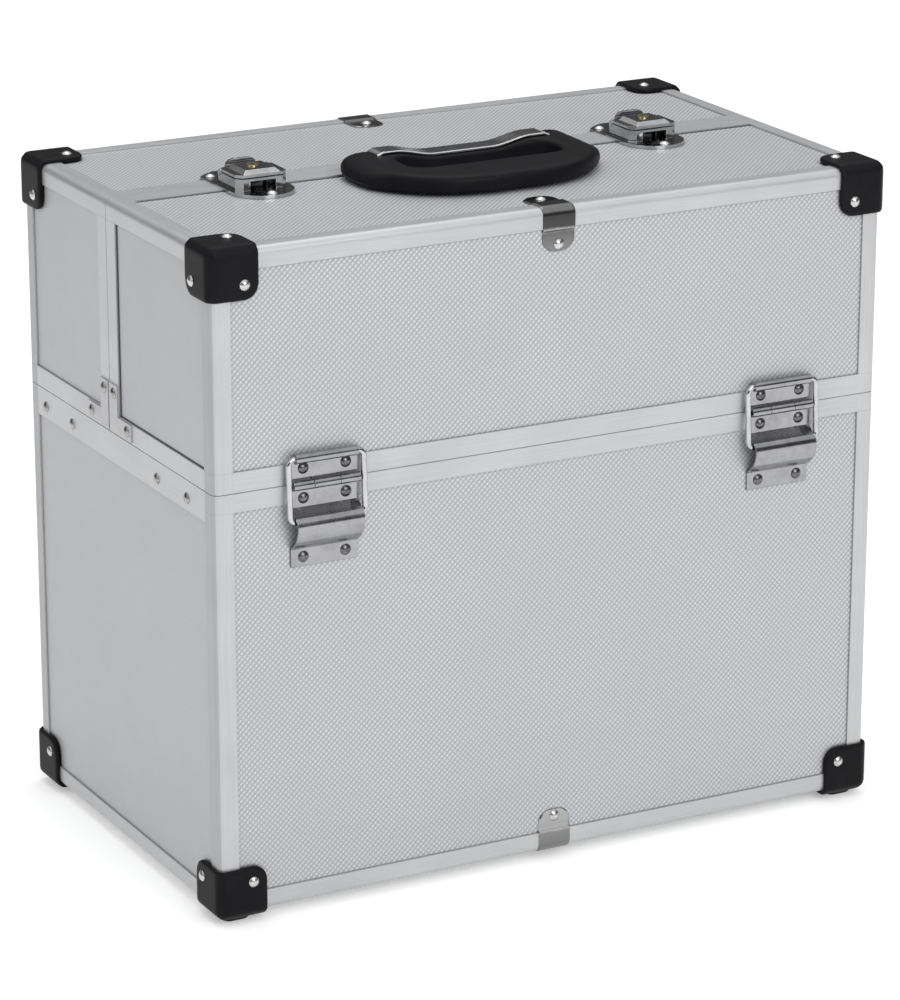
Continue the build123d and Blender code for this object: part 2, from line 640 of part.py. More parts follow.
def handle():
    """Moulded grip with its pivot bar, the steel strap on it and the two saddles."""
    pivot_y, pivot_z = handle_point(0, PIVOT_H)
    half_plan = [(x, HANDLE_REACH - drop) for x, drop in HANDLE_BOW]
    half_plan += [(HANDLE_HALF, BAR_R * 2), (HANDLE_HALF - 2, 0), (HANDLE_HALF - 7, -BAR_R)]
    plan = make_face(Polyline(*half_plan, *[(-x, y) for x, y in reversed(half_plan)], close=True))
    view = Plane(origin=(0, pivot_y + 2 * BAR_R, pivot_z), x_dir=(1, 0, 0), z_dir=(0, -1, 0))
    above = Plane(origin=(0, pivot_y, pivot_z - BAR_R), x_dir=(-1, 0, 0), z_dir=(0, 0, 1))
    grip = extrude(above * plan, amount=HANDLE_T)
    grip = chamfer(grip.edges().filter_by(Plane.XY), HANDLE_SOFT_R)
    grip &= extrude(view * handle_section(), amount=HANDLE_REACH + 4 * BAR_R)
    opening = Rectangle(2 * GAP_HALF, GAP_FAR - GAP_NEAR)
    opening = chamfer(opening.vertices(), GAP_CUT)
    grip -= extrude(above * (Pos(0, (GAP_NEAR + GAP_FAR) / 2) * opening), amount=HANDLE_T)

    wave = strap_wave(HANDLE_T - BAR_R)
    strap_face = make_face(Polyline(*wave, *[(x, z + STRAP_T) for x, z in reversed(wave)], close=True))
    strap_view = Plane(origin=(0, pivot_y + STRAP_BACK, pivot_z), x_dir=(1, 0, 0), z_dir=(0, -1, 0))
    strap = extrude(strap_view * strap_face, amount=STRAP_W)
    over = make_face(Polyline(*wave, (STRAP_HALF, 2 * BAR_R), (-STRAP_HALF, 2 * BAR_R), close=True))
    grip -= extrude(view * over, amount=2 * BAR_R + GAP_NEAR)

    loop_r = JOURNAL_R + RUN_FIT + SADDLE_T
    low = (Align.MIN, Align.MIN)
    reach_r = loop_r + SADDLE_CLEAR
    room = disc(reach_r)
    room += Pos(-2 * BAR_R, -2 * BAR_R) * Rectangle(2 * BAR_R, 2 * BAR_R + reach_r, align=low)
    room += Pos(0, -2 * BAR_R) * Rectangle(reach_r, 2 * BAR_R, align=low)
    rivet_top = SADDLE_T + RIVET_H - WALL - PIVOT_H
    room += Pos(0, -2 * BAR_R) * Rectangle(NOTCH_REACH, 2 * BAR_R + rivet_top + SADDLE_CLEAR, align=low)
    room -= disc(JOURNAL_R)

    foot = -WALL - PIVOT_H
    inner_r = JOURNAL_R + RUN_FIT
    section = disc(loop_r) + Pos(-loop_r, foot) * Rectangle(2 * loop_r, -foot, align=low)
    section += Pos(-loop_r, foot) * Rectangle(2 * loop_r + SADDLE_FOOT, SADDLE_T, align=low)
    section -= Circle(inner_r) + Pos(-inner_r, foot) * Rectangle(2 * inner_r, -foot, align=low)
    saddles = []
    rivets = []
    for x in (-SADDLE_X, SADDLE_X):
        sides = [
            Plane(origin=(x + width / 2, pivot_y, pivot_z), x_dir=(0, -1, 0), z_dir=(-1, 0, 0))
            for width in (NOTCH_W, SADDLE_W)
        ]
        grip -= extrude(sides[0] * room, amount=NOTCH_W)
        saddles.append(extrude(sides[1] * section, amount=SADDLE_W))
        rivet_y = pivot_y - loop_r - SADDLE_FOOT / 2
        rivets.append(rivet((x, rivet_y, Z_TOP - WALL + SADDLE_T), (0, 0, 1)))
    parts["handle_grip"] = [grip]
    parts["handle_strap"] = [strap]
    parts["handle_saddles"] = saddles
    return rivets


def latch_plane(height=0.0):
    """Plan of a latch: sideways, and forward from the line where the lids meet."""
    return Plane(origin=(0, SPLIT_Y, Z_TOP + height), x_dir=(-1, 0, 0), z_dir=(0, 0, 1))


def side_plane(x):
    """Side view of a latch: forward from the split, and up from the top rails."""
    return Plane(origin=(x, SPLIT_Y, Z_TOP), x_dir=(0, -1, 0), z_dir=(-1, 0, 0))


def stepped(plate, rail_side):
    """A flat latch plate, cut away under where it lies on the split rail."""
    rail_end = SPLIT_Y + rail_side * (RAIL_W + PANEL_FIT + SPLIT_GAP)
    low, high = sorted((SPLIT_Y, rail_end))
    return plate - block((-CATCH_HALF - 1, low, Z_TOP - 2 * WALL), (CATCH_HALF + 1, high, Z_TOP))


def housing_plan(inset, back):
    """Plan of the latch housing, inset from its outer face: square at the back, cut corners in front."""
    half, front = HOUSING_HALF - inset, HOUSING_V - inset
    cut = HOUSING_CUT - inset * (2 - 2 ** 0.5)
    side = [(half, back), (half, front - cut), (half - cut, front)]
    return make_face(Polyline(*side, *[(-x, v) for x, v in reversed(side)], close=True))


def cover_shape(inset):
    """Cover with a flat flange and a raised middle, inset from its outer face."""
    low, flange, high = HOUSING_H + LEVER_GAP, LEVER_EDGE_H - inset, LEVER_TOP - inset
    half, flat = HOUSING_HALF - inset, PLATEAU_HALF - inset
    back, front = LEVER_WIDE_V + inset, HOUSING_V - inset
    view = [(half, low), (half, flange), (flat + PLATEAU_SLOPE, flange), (flat, high)]
    view = make_face(Polyline(*view, *[(-x, h) for x, h in reversed(view)], close=True))
    side = [(back, low), (back, flange), (back + PLATEAU_SLOPE / 4, high)]
    nose = front - PLATEAU_FRONT_IN
    side += [(nose, high), (nose + PLATEAU_SLOPE, flange), (front, flange), (front, low)]
    seen = Plane(origin=(0, SPLIT_Y, Z_TOP), x_dir=(1, 0, 0), z_dir=(0, -1, 0))
    profile = side_plane(HOUSING_HALF) * make_face(Polyline(*side, close=True))
    cover = extrude(seen * view, amount=HOUSING_V) & extrude(profile, amount=2 * HOUSING_HALF)
    return cover & extrude(latch_plane() * housing_plan(inset, back), amount=LEVER_TOP)


def latch_plate():
    """Base plate with the housing, the pin's ears and the keeper that the key's cam turns under."""
    half = LATCH_PLATE_HALF
    round_at = LATCH_PLATE_V - half
    plan = Pos(-half, CATCH_GAP) * Rectangle(2 * half, round_at - CATCH_GAP, align=(Align.MIN, Align.MIN))
    plan += Pos(0, round_at) * disc(half, 2 * ROUND_SIDES)
    plate = stepped(extrude(latch_plane(-WALL) * plan, amount=WALL + LATCH_PLATE_T), -1)
    walls = housing_plan(0, HOUSING_BACK) - housing_plan(HOUSING_T, HOUSING_BACK)
    plate += extrude(latch_plane() * walls, amount=HOUSING_H)
    pivot = Pos(LEVER_PIVOT_V, LEVER_PIVOT_H)
    foot = [
        (HOUSING_BACK, LATCH_PLATE_T), (LEVER_PIVOT_V - EAR_R, LEVER_PIVOT_H),
        (HOUSING_BACK, LEVER_PIVOT_H),
    ]
    ear = make_face(Polyline(*foot, close=True)) + pivot * disc(EAR_R)
    plate += both_ends([extrude(side_plane(HOUSING_HALF) * ear, amount=HOUSING_T)])
    hole = side_plane(HOUSING_HALF) * (pivot * bore(LEVER_PIN_R))
    plate -= extrude(hole, amount=2 * HOUSING_HALF)
    mouth_y = SPLIT_Y - HOUSING_V
    plate -= block(
        (-HOUSING_MOUTH, mouth_y, Z_TOP + LATCH_PLATE_T),
        (HOUSING_MOUTH, mouth_y + HOUSING_T, Z_TOP + HOUSING_H - LINTEL_H),
    )
    post_x = CAM_L + KEEPER_GAP
    top = Z_TOP + KEY_LOW + KEEPER_GAP
    keeper_y = SPLIT_Y - KEY_V - KEEPER_L / 2
    corner = (post_x + KEEPER_T, keeper_y + KEEPER_L, top + KEEPER_T)
    post = block((post_x, keeper_y, Z_TOP), corner)
    return plate + post + block((KEY_R + KEEPER_GAP, keeper_y, top), corner)


def latch_lever():
    """Pressed cover with a raised top: it turns on the rolled end at its back and is bored for the key."""
    low_h = HOUSING_H + LEVER_GAP
    lever = cover_shape(0) - cover_shape(LEVER_T)
    roll_half = HOUSING_HALF - HOUSING_T - LEVER_SIDE_GAP
    pivot = Pos(LEVER_PIVOT_V, LEVER_PIVOT_H)
    bridge_l, bridge_h = LEVER_WIDE_V + LEVER_T - LEVER_PIVOT_V, LEVER_EDGE_H - low_h
    bridge = Rectangle(bridge_l, bridge_h, align=(Align.MIN, Align.MIN))
    roll = Pos(LEVER_PIVOT_V, low_h) * bridge + pivot * disc(LEVER_ROLL_R)
    roll -= pivot * bore(LEVER_PIN_R)
    lever += extrude(side_plane(roll_half) * roll, amount=2 * roll_half)
    return lever - extrude(latch_plane() * (Pos(0, KEY_V) * bore(KEY_R)), amount=2 * LEVER_TOP)


def key_cylinder():
    """Lock barrel with its key slot and the cam under it."""
    body = extrude(latch_plane(KEY_LOW) * (Pos(0, KEY_V) * Circle(KEY_R)), amount=KEY_DEPTH + KEY_PROUD)
    slot = Pos(0, KEY_V) * Rectangle(KEY_SLOT_W, 1.3 * KEY_R)
    body -= extrude(latch_plane(LEVER_TOP + KEY_PROUD - KEY_SLOT_DEEP) * slot, amount=KEY_SLOT_DEEP)
    cam = Pos(0, KEY_V) * Rectangle(CAM_W, CAM_L, align=(Align.CENTER, Align.MIN))
    return body + extrude(latch_plane(KEY_LOW - CAM_T) * cam, amount=CAM_T)


def latch_pin():
    """Pivot pin through both ears."""
    half = HOUSING_HALF + LEVER_PIN_R / 4
    section = Pos(LEVER_PIVOT_V, LEVER_PIVOT_H) * Circle(LEVER_PIN_R)
    return extrude(side_plane(half) * section, amount=2 * half)


def latch_catch():
    """Plate on the back lid with the upright lip that the lever's rolled end faces."""
    side = [(CATCH_HALF, -CATCH_GAP), *[(x, -v) for x, v in CATCH_EDGE]]
    plan = make_face(Polyline(*side, *[(-x, v) for x, v in reversed(side)], close=True))
    base = stepped(extrude(latch_plane(-WALL) * plan, amount=WALL + LATCH_PLATE_T), 1)
    front, back = -CATCH_LIP_V, -CATCH_LIP_V - CATCH_LIP_T
    roll_h = CATCH_LIP_H - CATCH_ROLL_R
    toe = back - CATCH_RAMP_L
    ramp = [(front, 0), (front, roll_h), (back, roll_h), (toe, LATCH_PLATE_T), (toe, 0)]
    lip = make_face(Polyline(*ramp, close=True)) + Pos((front + back) / 2, roll_h) * disc(CATCH_ROLL_R)
    lip = extrude(side_plane(CATCH_HALF) * lip, amount=2 * CATCH_HALF)
    crest = [(CATCH_CREST[0][0], 0), *CATCH_CREST]
    crest = make_face(Polyline(*crest, *[(-x, h) for x, h in reversed(crest)], close=True))
    seen = Plane(origin=(0, SPLIT_Y + CATCH_HALF, Z_TOP), x_dir=(1, 0, 0), z_dir=(0, -1, 0))
    return base + (lip & extrude(seen * crest, amount=CATCH_HALF))


def latches():
    """Both latches with their rivets: front lid rivets, then back lid rivets."""
    solids = {
        "latch_plate": latch_plate(), "latch_lever": latch_lever(),
        "latch_key_cylinder": key_cylinder(), "latch_catch": latch_catch(),
    }
    for key, solid in solids.items():
        parts[key + "_left"] = [Pos(-LATCH_X, 0, 0) * solid]
        parts[key + "_right"] = [Pos(LATCH_X, 0, 0) * solid]
    face = Z_TOP + LATCH_PLATE_T
    front_at = (0, SPLIT_Y - LATCH_PLATE_V + LATCH_RIVET_IN, face)
    back_at = [(side * CATCH_RIVET_X, SPLIT_Y + CATCH_RIVET_V, face) for side in (-1, 1)]
    spots = [Pos(-LATCH_X, 0, 0), Pos(LATCH_X, 0, 0)]
    pin = latch_pin()
    parts["latch_pivot_pins"] = [spot * pin for spot in spots]
    front = [spot * rivet(front_at, (0, 0, 1)) for spot in spots]
    return front, [spot * rivet(place, (0, 0, 1)) for spot in spots for place in back_at]


def write_parts():
    """One STEP file for each named piece or group of identical pieces."""
    os.makedirs("parts", exist_ok=True)
    for name, shapes in parts.items():
        solids = [solid for shape in shapes for solid in shape.solids()]
        item = solids[0] if len(solids) == 1 else Compound(children=solids)
        item.label = name
        export_step(item, "parts/" + name + ".step")


base_panels()
base_rails()
base_caps()
base_clips()
base_lining()
base_rivets()
hinges()
front_rivets = lid_frame("front_lid", FRONT_LID_D - SPLIT_GAP / 2, True)
back_rivets = lid_frame("back_lid", CASE_D - FRONT_LID_D - SPLIT_GAP / 2, False)
handle_rivets = handle()
front_latch_rivets, back_latch_rivets = latches()
parts["front_lid_rivets"] = front_rivets + handle_rivets + front_latch_rivets
parts["back_lid_rivets"] = flipped(back_rivets) + back_latch_rivets
write_parts()
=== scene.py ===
import bmesh
import bpy
import json
import math
from mathutils import Matrix, Vector

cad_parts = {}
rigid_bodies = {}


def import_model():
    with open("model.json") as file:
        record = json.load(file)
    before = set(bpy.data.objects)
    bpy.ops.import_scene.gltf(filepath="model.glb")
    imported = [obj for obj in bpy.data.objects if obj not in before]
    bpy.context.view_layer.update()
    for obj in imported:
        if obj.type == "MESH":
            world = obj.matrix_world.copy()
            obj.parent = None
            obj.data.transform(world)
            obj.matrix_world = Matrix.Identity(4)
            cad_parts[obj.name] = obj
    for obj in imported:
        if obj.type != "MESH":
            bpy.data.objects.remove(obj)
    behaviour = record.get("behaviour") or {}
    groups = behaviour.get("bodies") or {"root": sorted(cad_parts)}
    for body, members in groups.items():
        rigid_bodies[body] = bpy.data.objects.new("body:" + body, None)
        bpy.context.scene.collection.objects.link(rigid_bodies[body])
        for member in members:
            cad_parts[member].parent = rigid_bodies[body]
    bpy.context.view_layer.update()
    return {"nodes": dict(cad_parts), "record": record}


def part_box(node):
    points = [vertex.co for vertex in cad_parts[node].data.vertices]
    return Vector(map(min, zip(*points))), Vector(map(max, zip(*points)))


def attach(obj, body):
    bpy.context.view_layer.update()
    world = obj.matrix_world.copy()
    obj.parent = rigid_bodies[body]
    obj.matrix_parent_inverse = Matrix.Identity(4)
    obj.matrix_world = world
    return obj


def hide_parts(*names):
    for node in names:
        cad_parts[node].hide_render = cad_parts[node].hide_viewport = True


# Looks of the aluminium tool case: materials, smooth versions of its small parts, light and camera.
# The scene is in metres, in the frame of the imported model. X runs along the case, -Y is the front, +Z is up.

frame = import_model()

MM = 0.001
BODY_OF = {node: body for body, nodes in frame["record"]["behaviour"]["bodies"].items() for node in nodes}
SLOT_OF = {part["node"]: part["material_slot"] for part in frame["record"]["subparts"]}

# Embossed boards
EMBOSS_CELL = 3.0 * MM
EMBOSS_DEPTH = 0.10 * MM
EMBOSS_SIDE_SHARE = 0.14
EMBOSS_WAVES = ((0.52, 1, -1), (0.26, 1, 1), (0.11, 2, 0), (0.11, 0, 2))  # weight, turns across, turns up
# Emboss colours: painted shade in the pits, the laminate's own grey, and a painted highlight on the raised
# diamonds
BOARD_PIT_SHADE = (0.330, 0.338, 0.350)
BOARD_MIDDLE = (0.520, 0.531, 0.545)
BOARD_CREST_HIGHLIGHT = (0.740, 0.752, 0.768)

# Box, in millimetres
HALF_W = 188.0
HALF_D = 112.5
Z_BOTTOM = 5.0
Z_SEAM = 223.0
Z_TOP = 343.0
SPLIT_Y = 8.5
RAIL_W = 10.4
LID_RIM_W = 10.3
BOARD_SUNK = 1.0
KEY_FACE = 11.0
BRASS_T = 1.6

# Painted shadow lines at the joints between sunk boards and rails: axis, place and width, in millimetres
SPLIT_FRONT = SPLIT_Y - RAIL_W - 0.25
SPLIT_BACK = 2 * SPLIT_Y - SPLIT_FRONT
TOP_SHADOW_LINES = (("Y", SPLIT_FRONT, 1.5),)
LEFT_SHADOW_LINES = (("Y", SPLIT_FRONT, 1.5), ("Z", Z_SEAM + LID_RIM_W + 0.3, 0.7))
BACK_SHADOW_LINES = (("Y", SPLIT_BACK, 0.5),)

# Rivets and softened nodes: rivets this near the seam, in millimetres, are painted greyer on the sides, as a
# dimmer reflection
SIDE_RIVET_REACH = 45.0
DOME_SIDES = 28
DOME_RINGS = 7
LATCH_EDGE = 0.30 * MM
PLATE_EDGE = 0.22 * MM
CAP_VOXEL = 0.7 * MM
CAP_ROUNDS = 26

# Edge clips, in millimetres: places are in from the two faces that they lie on
CLIP_HALF = 9.0
CLIP_T = 0.8
CLIP_STEP_AT = 10.7
CLIP_TOP_LEG = 25.0
CLIP_SIDE_LEG = 22.0
CLIP_ROUND = 6.5
CLIP_RIM = 0.8
CLIP_STEPS = 8
EDGE_R = 4.0

# Painted reflection on the clips, dark bands and a bright line at the step: millimetres from the edge, and
# grey, over a strip this long
CLIP_REFLECTION_REACH = 24.0
TOP_CLIP_REFLECTION_STOPS = [
    (0.0, 0.20), (2.4, 0.22), (3.4, 0.055), (9.6, 0.07), (10.9, 0.34), (12.6, 0.13), (20.0, 0.20),
]
LOW_CLIP_REFLECTION_STOPS = [(0.0, 0.26), (3.0, 0.20), (9.8, 0.24), (11.2, 0.44), (13.0, 0.36), (20.0, 0.40)]

# Hinges, in millimetres: places are out from the long face and up from the seam
HINGE_X = 129.5
HINGE_HALF = 18.0
HINGES = {
    "front_left": (-HINGE_X, -1), "front_right": (HINGE_X, -1),
    "back_left": (-HINGE_X, 1), "back_right": (HINGE_X, 1),
}
LEAF_T = 1.0
WALL = 1.0
KNUCKLE_R = 2.55
KNUCKLE_GAP = 0.3
MIDDLE_KNUCKLE_HALF = 7.2
STAY_R = 1.5
STAY_CORNER = 3.4
STAY_BEND_STEPS = 8
STAY_SIDES = 18
STAY_L = 31.5
STAY_PIVOT_H = 13.5
STAY_LEAN = -3.3
STAY_SHARE = 0.338
ROLL_HALF = 16.7
LID_SWING = 95.0
POCKET_STEPS = 18
POCKET_FIT = 0.6
POCKET_TOP = -11.5
POCKET_END = -32.5
FLANGE_END = -42.0

# Handle, in millimetres: places are sideways, forward of the pivot and up from it
PIVOT_Y = -6.5
PIVOT_Z = 348.8
GRIP_HALF = 68.0
GRIP_FRONT = 66.0
GRIP_BACK = 5.2
GRIP_LOW = -5.2
GRIP_HIGH = 4.8
GRIP_END_HIGH = -1.5
GRIP_END_L = 15.0
GAP_HALF = 44.0
GAP_NEAR = 11.0
GAP_FAR = 38.0
GRIP_POINTS = 168
RIB_PITCH = 1.7
RIB_TOP = 3.4
STRAP_HALF = 49.5
STRAP_W = 12.0
STRAP_T = 1.6
STRAP_DIP = 3.6
STRAP_BACK = 3.4
STRAP_STEPS = 96
SADDLE_X = 52.0
NOTCH_HALF = 3.7
NOTCH_PAST = -9.0  # past the grip's back and foot, where both boxes of a notch start
NOTCH_CUTS = ((3.6, 3.6), (13.0, -3.7))  # how far forward and how high each box reaches
JOURNAL_R = 2.0
JOURNAL_SIDES = 24
JOURNAL_IN = 0.5

# Studio: a sky by height from below to above, and square lamps (name, place, target, size, watts)
SKY = [(0.0, 0.30), (0.12, 0.10), (0.42, 0.09), (0.60, 0.95), (1.0, 1.0)]
SKY_TINT = (0.985, 0.99, 1.0)
SKY_STRENGTH = 0.92
FLOOR_SIZE = 24
FLOOR_GLOW = 0.36
LAMPS = (
    ("key_box", (0.1, -2.75, 1.7), (0, 0, 0.2), 1.6, 34),
    ("fill_box", (-2.4, -0.6, 1.2), (0, 0, 0.2), 1.6, 6),
    ("top_box", (0.1, 0.4, 2.4), (0, 0, 0.3), 1.4, 12),
)

# Camera: lens and sensor in millimetres, angles in degrees, place in metres
LENS = 153.6
SENSOR_W = 36
AZIMUTH = -28.14
ELEVATION = 18.04
CAMERA_AT = (-1.0004, -1.8700, 0.8513)


# Materials

def new_material(name):
    """An empty procedural material with its shader ready."""
    material = bpy.data.materials.new(name)
    material.use_nodes = True
    material.node_tree.nodes["Principled BSDF"].name = "shader"
    return material


def node(material, kind, inputs=(), **settings):
    """A node with its settings and with its inputs linked or set."""
    made = material.node_tree.nodes.new(kind)
    for key, value in settings.items():
        setattr(made, key, value)
    for key, value in dict(inputs).items():
        if isinstance(value, bpy.types.NodeSocket):
            material.node_tree.links.new(value, made.inputs[key])
        else:
            made.inputs[key].default_value = value
    return made


def maths(material, operation, first, second=0.0, third=0.0):
    """The result of one calculation on numbers."""
    inputs = {0: first, 1: second, 2: third}
    return node(material, "ShaderNodeMath", inputs, operation=operation).outputs[0]


def ramp(material, value, stops):
    """A colour or grey that changes along a value: stops are (position, colour)."""
    made = node(material, "ShaderNodeValToRGB", {0: value})
    band = made.color_ramp
    while len(band.elements) < len(stops):
        band.elements.new(0.5)
    for element, (position, colour) in zip(band.elements, stops):
        element.position = position
        element.color = (*colour, 1) if isinstance(colour, tuple) else (colour, colour, colour, 1)
    return made.outputs[0]


def mixed(material, share, first, second):
    """A colour between two, by a share of the second."""
    return node(material, "ShaderNodeMix", {0: share, 6: first, 7: second}, data_type="RGBA").outputs[2]


def shaded(material, colour, shade):
    """The colour multiplied by a shade."""
    inputs = {0: 1.0, 6: colour, 7: shade}
    return node(material, "ShaderNodeMix", inputs, data_type="RGBA", blend_type="MULTIPLY").outputs[2]


def away_from(material, value, where):
    """How far a number is from a place, to either side."""
    return maths(material, "ABSOLUTE", maths(material, "SUBTRACT", value, where))


def finish_material(
    material, colour=None, roughness=None, height=None, depth=0.0, strength=1.0, edge=0.0, **constants
):
    """Links colour, roughness and relief to the shader and sets its constant values."""
    shader = material.node_tree.nodes["shader"]
    links = material.node_tree.links
    if colour is not None:
        links.new(colour, shader.inputs["Base Color"])
    if roughness is not None:
        links.new(roughness, shader.inputs["Roughness"])
    normal = None
    if edge:
        normal = node(material, "ShaderNodeBevel", {"Radius": edge}, samples=4).outputs[0]
    if height is not None:
        inputs = {"Height": height, "Distance": depth, "Strength": strength}
        if normal is not None:
            inputs["Normal"] = normal
        normal = node(material, "ShaderNodeBump", inputs).outputs[0]
    if normal is not None:
        links.new(normal, shader.inputs["Normal"])
    for name, value in constants.items():
        shader.inputs[name.replace("_", " ")].default_value = value
    return material


def place(material, scale=(1, 1, 1)):
    """Object coordinates in millimetres, stretched by a scale."""
    coordinates = node(material, "ShaderNodeTexCoord").outputs["Object"]
    inputs = {0: coordinates, 1: tuple(value / MM for value in scale)}
    return node(material, "ShaderNodeVectorMath", inputs, operation="MULTIPLY").outputs[0]


def axes(material):
    """X, Y and Z in millimetres, as separate numbers."""
    return node(material, "ShaderNodeSeparateXYZ", {0: place(material)}).outputs


def noise(material, size, detail=2.0, scale=(1, 1, 1), roughness=0.5):
    """Grey noise whose spots are about the given number of millimetres."""
    inputs = {"Vector": place(material, scale), "Scale": 1.0 / size, "Detail": detail, "Roughness": roughness}
    return node(material, "ShaderNodeTexNoise", inputs).outputs["Fac"]


def painted_crease_shade(material, colour, reach, darkest):
    """The colour, darker in narrow angles and recesses: painted shade from an ambient occlusion node."""
    open_air = node(material, "ShaderNodeAmbientOcclusion", {"Distance": reach}, samples=6).outputs["AO"]
    shade = ramp(material, open_air, [(0.35, darkest), (0.80, 1.0)])
    return shaded(material, colour, shade)


def face_axes(material):
    """1 where the face looks along X, and 1 where it looks along Z, from the object's own normal."""
    normal = node(material, "ShaderNodeTexCoord").outputs["Normal"]
    parts = node(material, "ShaderNodeSeparateXYZ", {0: normal}).outputs
    return [maths(material, "GREATER_THAN", maths(material, "ABSOLUTE", parts[axis]), 0.7) for axis in "XZ"]


def either(material, choice, when_0, when_1):
    """One of two numbers, chosen by a third."""
    return node(material, "ShaderNodeMix", {0: choice, 2: when_0, 3: when_1}).outputs[0]


def painted_shadow_lines(material, colour, lines):
    """The colour with painted shadow along straight lines where a board sits below its rail: (axis, place,
    width) in millimetres.
    """
    at = axes(material)
    across = [(0.0, 0.05), (0.42, 0.09), (0.62, 0.8), (0.95, 1.0)]
    for axis, where, width in lines:
        away = away_from(material, at[axis], where)
        shade = ramp(material, maths(material, "DIVIDE", away, 2 * width), across)
        colour = shaded(material, colour, shade)
    return colour


def board_material(name="embossed_board", lines=()):
    """Silver laminate embossed with slanting rows of small diamonds."""
    material = new_material(name)
    spot = node(material, "ShaderNodeTexCoord").outputs["Object"]
    at = node(material, "ShaderNodeSeparateXYZ", {0: spot}).outputs
    sides, tops = face_axes(material)
    turns = 2 * math.pi / EMBOSS_CELL
    over = maths(material, "MULTIPLY", either(material, sides, at["X"], at["Y"]), turns)
    up = maths(material, "MULTIPLY", either(material, tops, at["Z"], at["Y"]), turns)
    waves = []
    for weight, first, second in EMBOSS_WAVES:
        phase = maths(material, "MULTIPLY_ADD", over, first, maths(material, "MULTIPLY", up, second))
        waves.append(maths(material, "MULTIPLY", maths(material, "COSINE", phase), weight))
    coarse = maths(material, "ADD", waves[0], waves[1])
    relief = maths(material, "ADD", coarse, maths(material, "ADD", waves[2], waves[3]))
    patches = noise(material, 60.0, detail=3.0)
    uneven = maths(material, "MULTIPLY_ADD", patches, 0.5, 0.75)
    share = either(material, sides, 1.0, EMBOSS_SIDE_SHARE)
    relief = maths(material, "MULTIPLY", maths(material, "MULTIPLY", relief, uneven), share)
    height = maths(material, "MULTIPLY_ADD", relief, 0.5, 0.5)
    grain = maths(material, "MULTIPLY_ADD", noise(material, 0.7, detail=2.0), 0.16, -0.08)
    tone = maths(material, "ADD", height, grain)
    tone = maths(material, "ADD", tone, maths(material, "MULTIPLY_ADD", patches, 0.10, -0.05))
    # Colour follows the relief: painted shade in the pits and a painted highlight on the raised diamonds,
    # weaker on faces that look along X, with random grain and patches on top.
    colour = ramp(material, tone, [(0.0, BOARD_PIT_SHADE), (0.5, BOARD_MIDDLE), (1.0, BOARD_CREST_HIGHLIGHT)])
    # Painted shade in narrow angles from an ambient occlusion node, and painted shadow lines where the boards
    # sit below their rails.
    colour = painted_shadow_lines(material, painted_crease_shade(material, colour, 1.8 * MM, 0.22), lines)
    roughness = maths(material, "MULTIPLY_ADD", noise(material, 8.0), 0.12, 0.36)
    return finish_material(
        material, colour, roughness, height, depth=EMBOSS_DEPTH, strength=0.5,
        Metallic=0.25, Specular_IOR_Level=0.45,
    )


def rail_material(name, side_x, post_y):
    """Satin anodised extrusion with fine drawn lines along each bar."""
    material = new_material(name)
    at = axes(material)
    on_side = maths(material, "GREATER_THAN", maths(material, "ABSOLUTE", at["X"]), side_x)
    far = maths(material, "GREATER_THAN", maths(material, "ABSOLUTE", at["Y"]), post_y)
    upright = maths(material, "MULTIPLY", on_side, far)
    drawn = []
    for stretch in ((0.012, 1, 1), (1, 0.012, 1), (1, 1, 0.012)):
        drawn.append(noise(material, 0.55, detail=3.0, scale=stretch, roughness=0.6))
    lines = either(material, upright, either(material, on_side, drawn[0], drawn[1]), drawn[2])
    broad = noise(material, 35.0, detail=2.0)
    tone = maths(material, "MULTIPLY_ADD", broad, 0.4, maths(material, "MULTIPLY", lines, 0.6))
    stops = [(0.25, (0.49, 0.495, 0.50)), (0.5, (0.56, 0.565, 0.57)), (0.8, (0.63, 0.635, 0.64))]
    colour = ramp(material, tone, stops)
    # Painted shade: the faces of the upright posts that look along X are made darker.
    painted_shade_post_side = maths(material, "MULTIPLY", upright, face_axes(material)[0])
    colour = shaded(material, colour, ramp(material, painted_shade_post_side, [(0.0, 1.0), (1.0, 0.78)]))
    roughness = maths(material, "MULTIPLY_ADD", lines, 0.20, 0.32)
    return finish_material(
        material, colour, roughness, lines, depth=0.03 * MM, strength=0.4, edge=0.4 * MM, Metallic=0.55,
    )


def steel_material(name, colour, rough, wear, metallic=1.0, edge=0.25 * MM):
    """Plated steel: nearly even, with faint rolling marks and rubbed places."""
    material = new_material(name)
    marks = noise(material, 0.8, detail=3.0, scale=(0.15, 1.0, 1.0))
    rubbed = noise(material, 9.0, detail=4.0, roughness=0.65)
    dark = tuple(value * (1 - wear) for value in colour)
    light = tuple(min(1.0, value * 1.08) for value in colour)
    shade = ramp(material, rubbed, [(0.30, dark), (0.55, colour), (0.80, light)])
    roughness = maths(material, "MULTIPLY_ADD", rubbed, rough * 0.8, rough * 0.6)
    return finish_material(
        material, shade, roughness, marks, depth=0.015 * MM, strength=0.4, edge=edge, Metallic=metallic,
    )


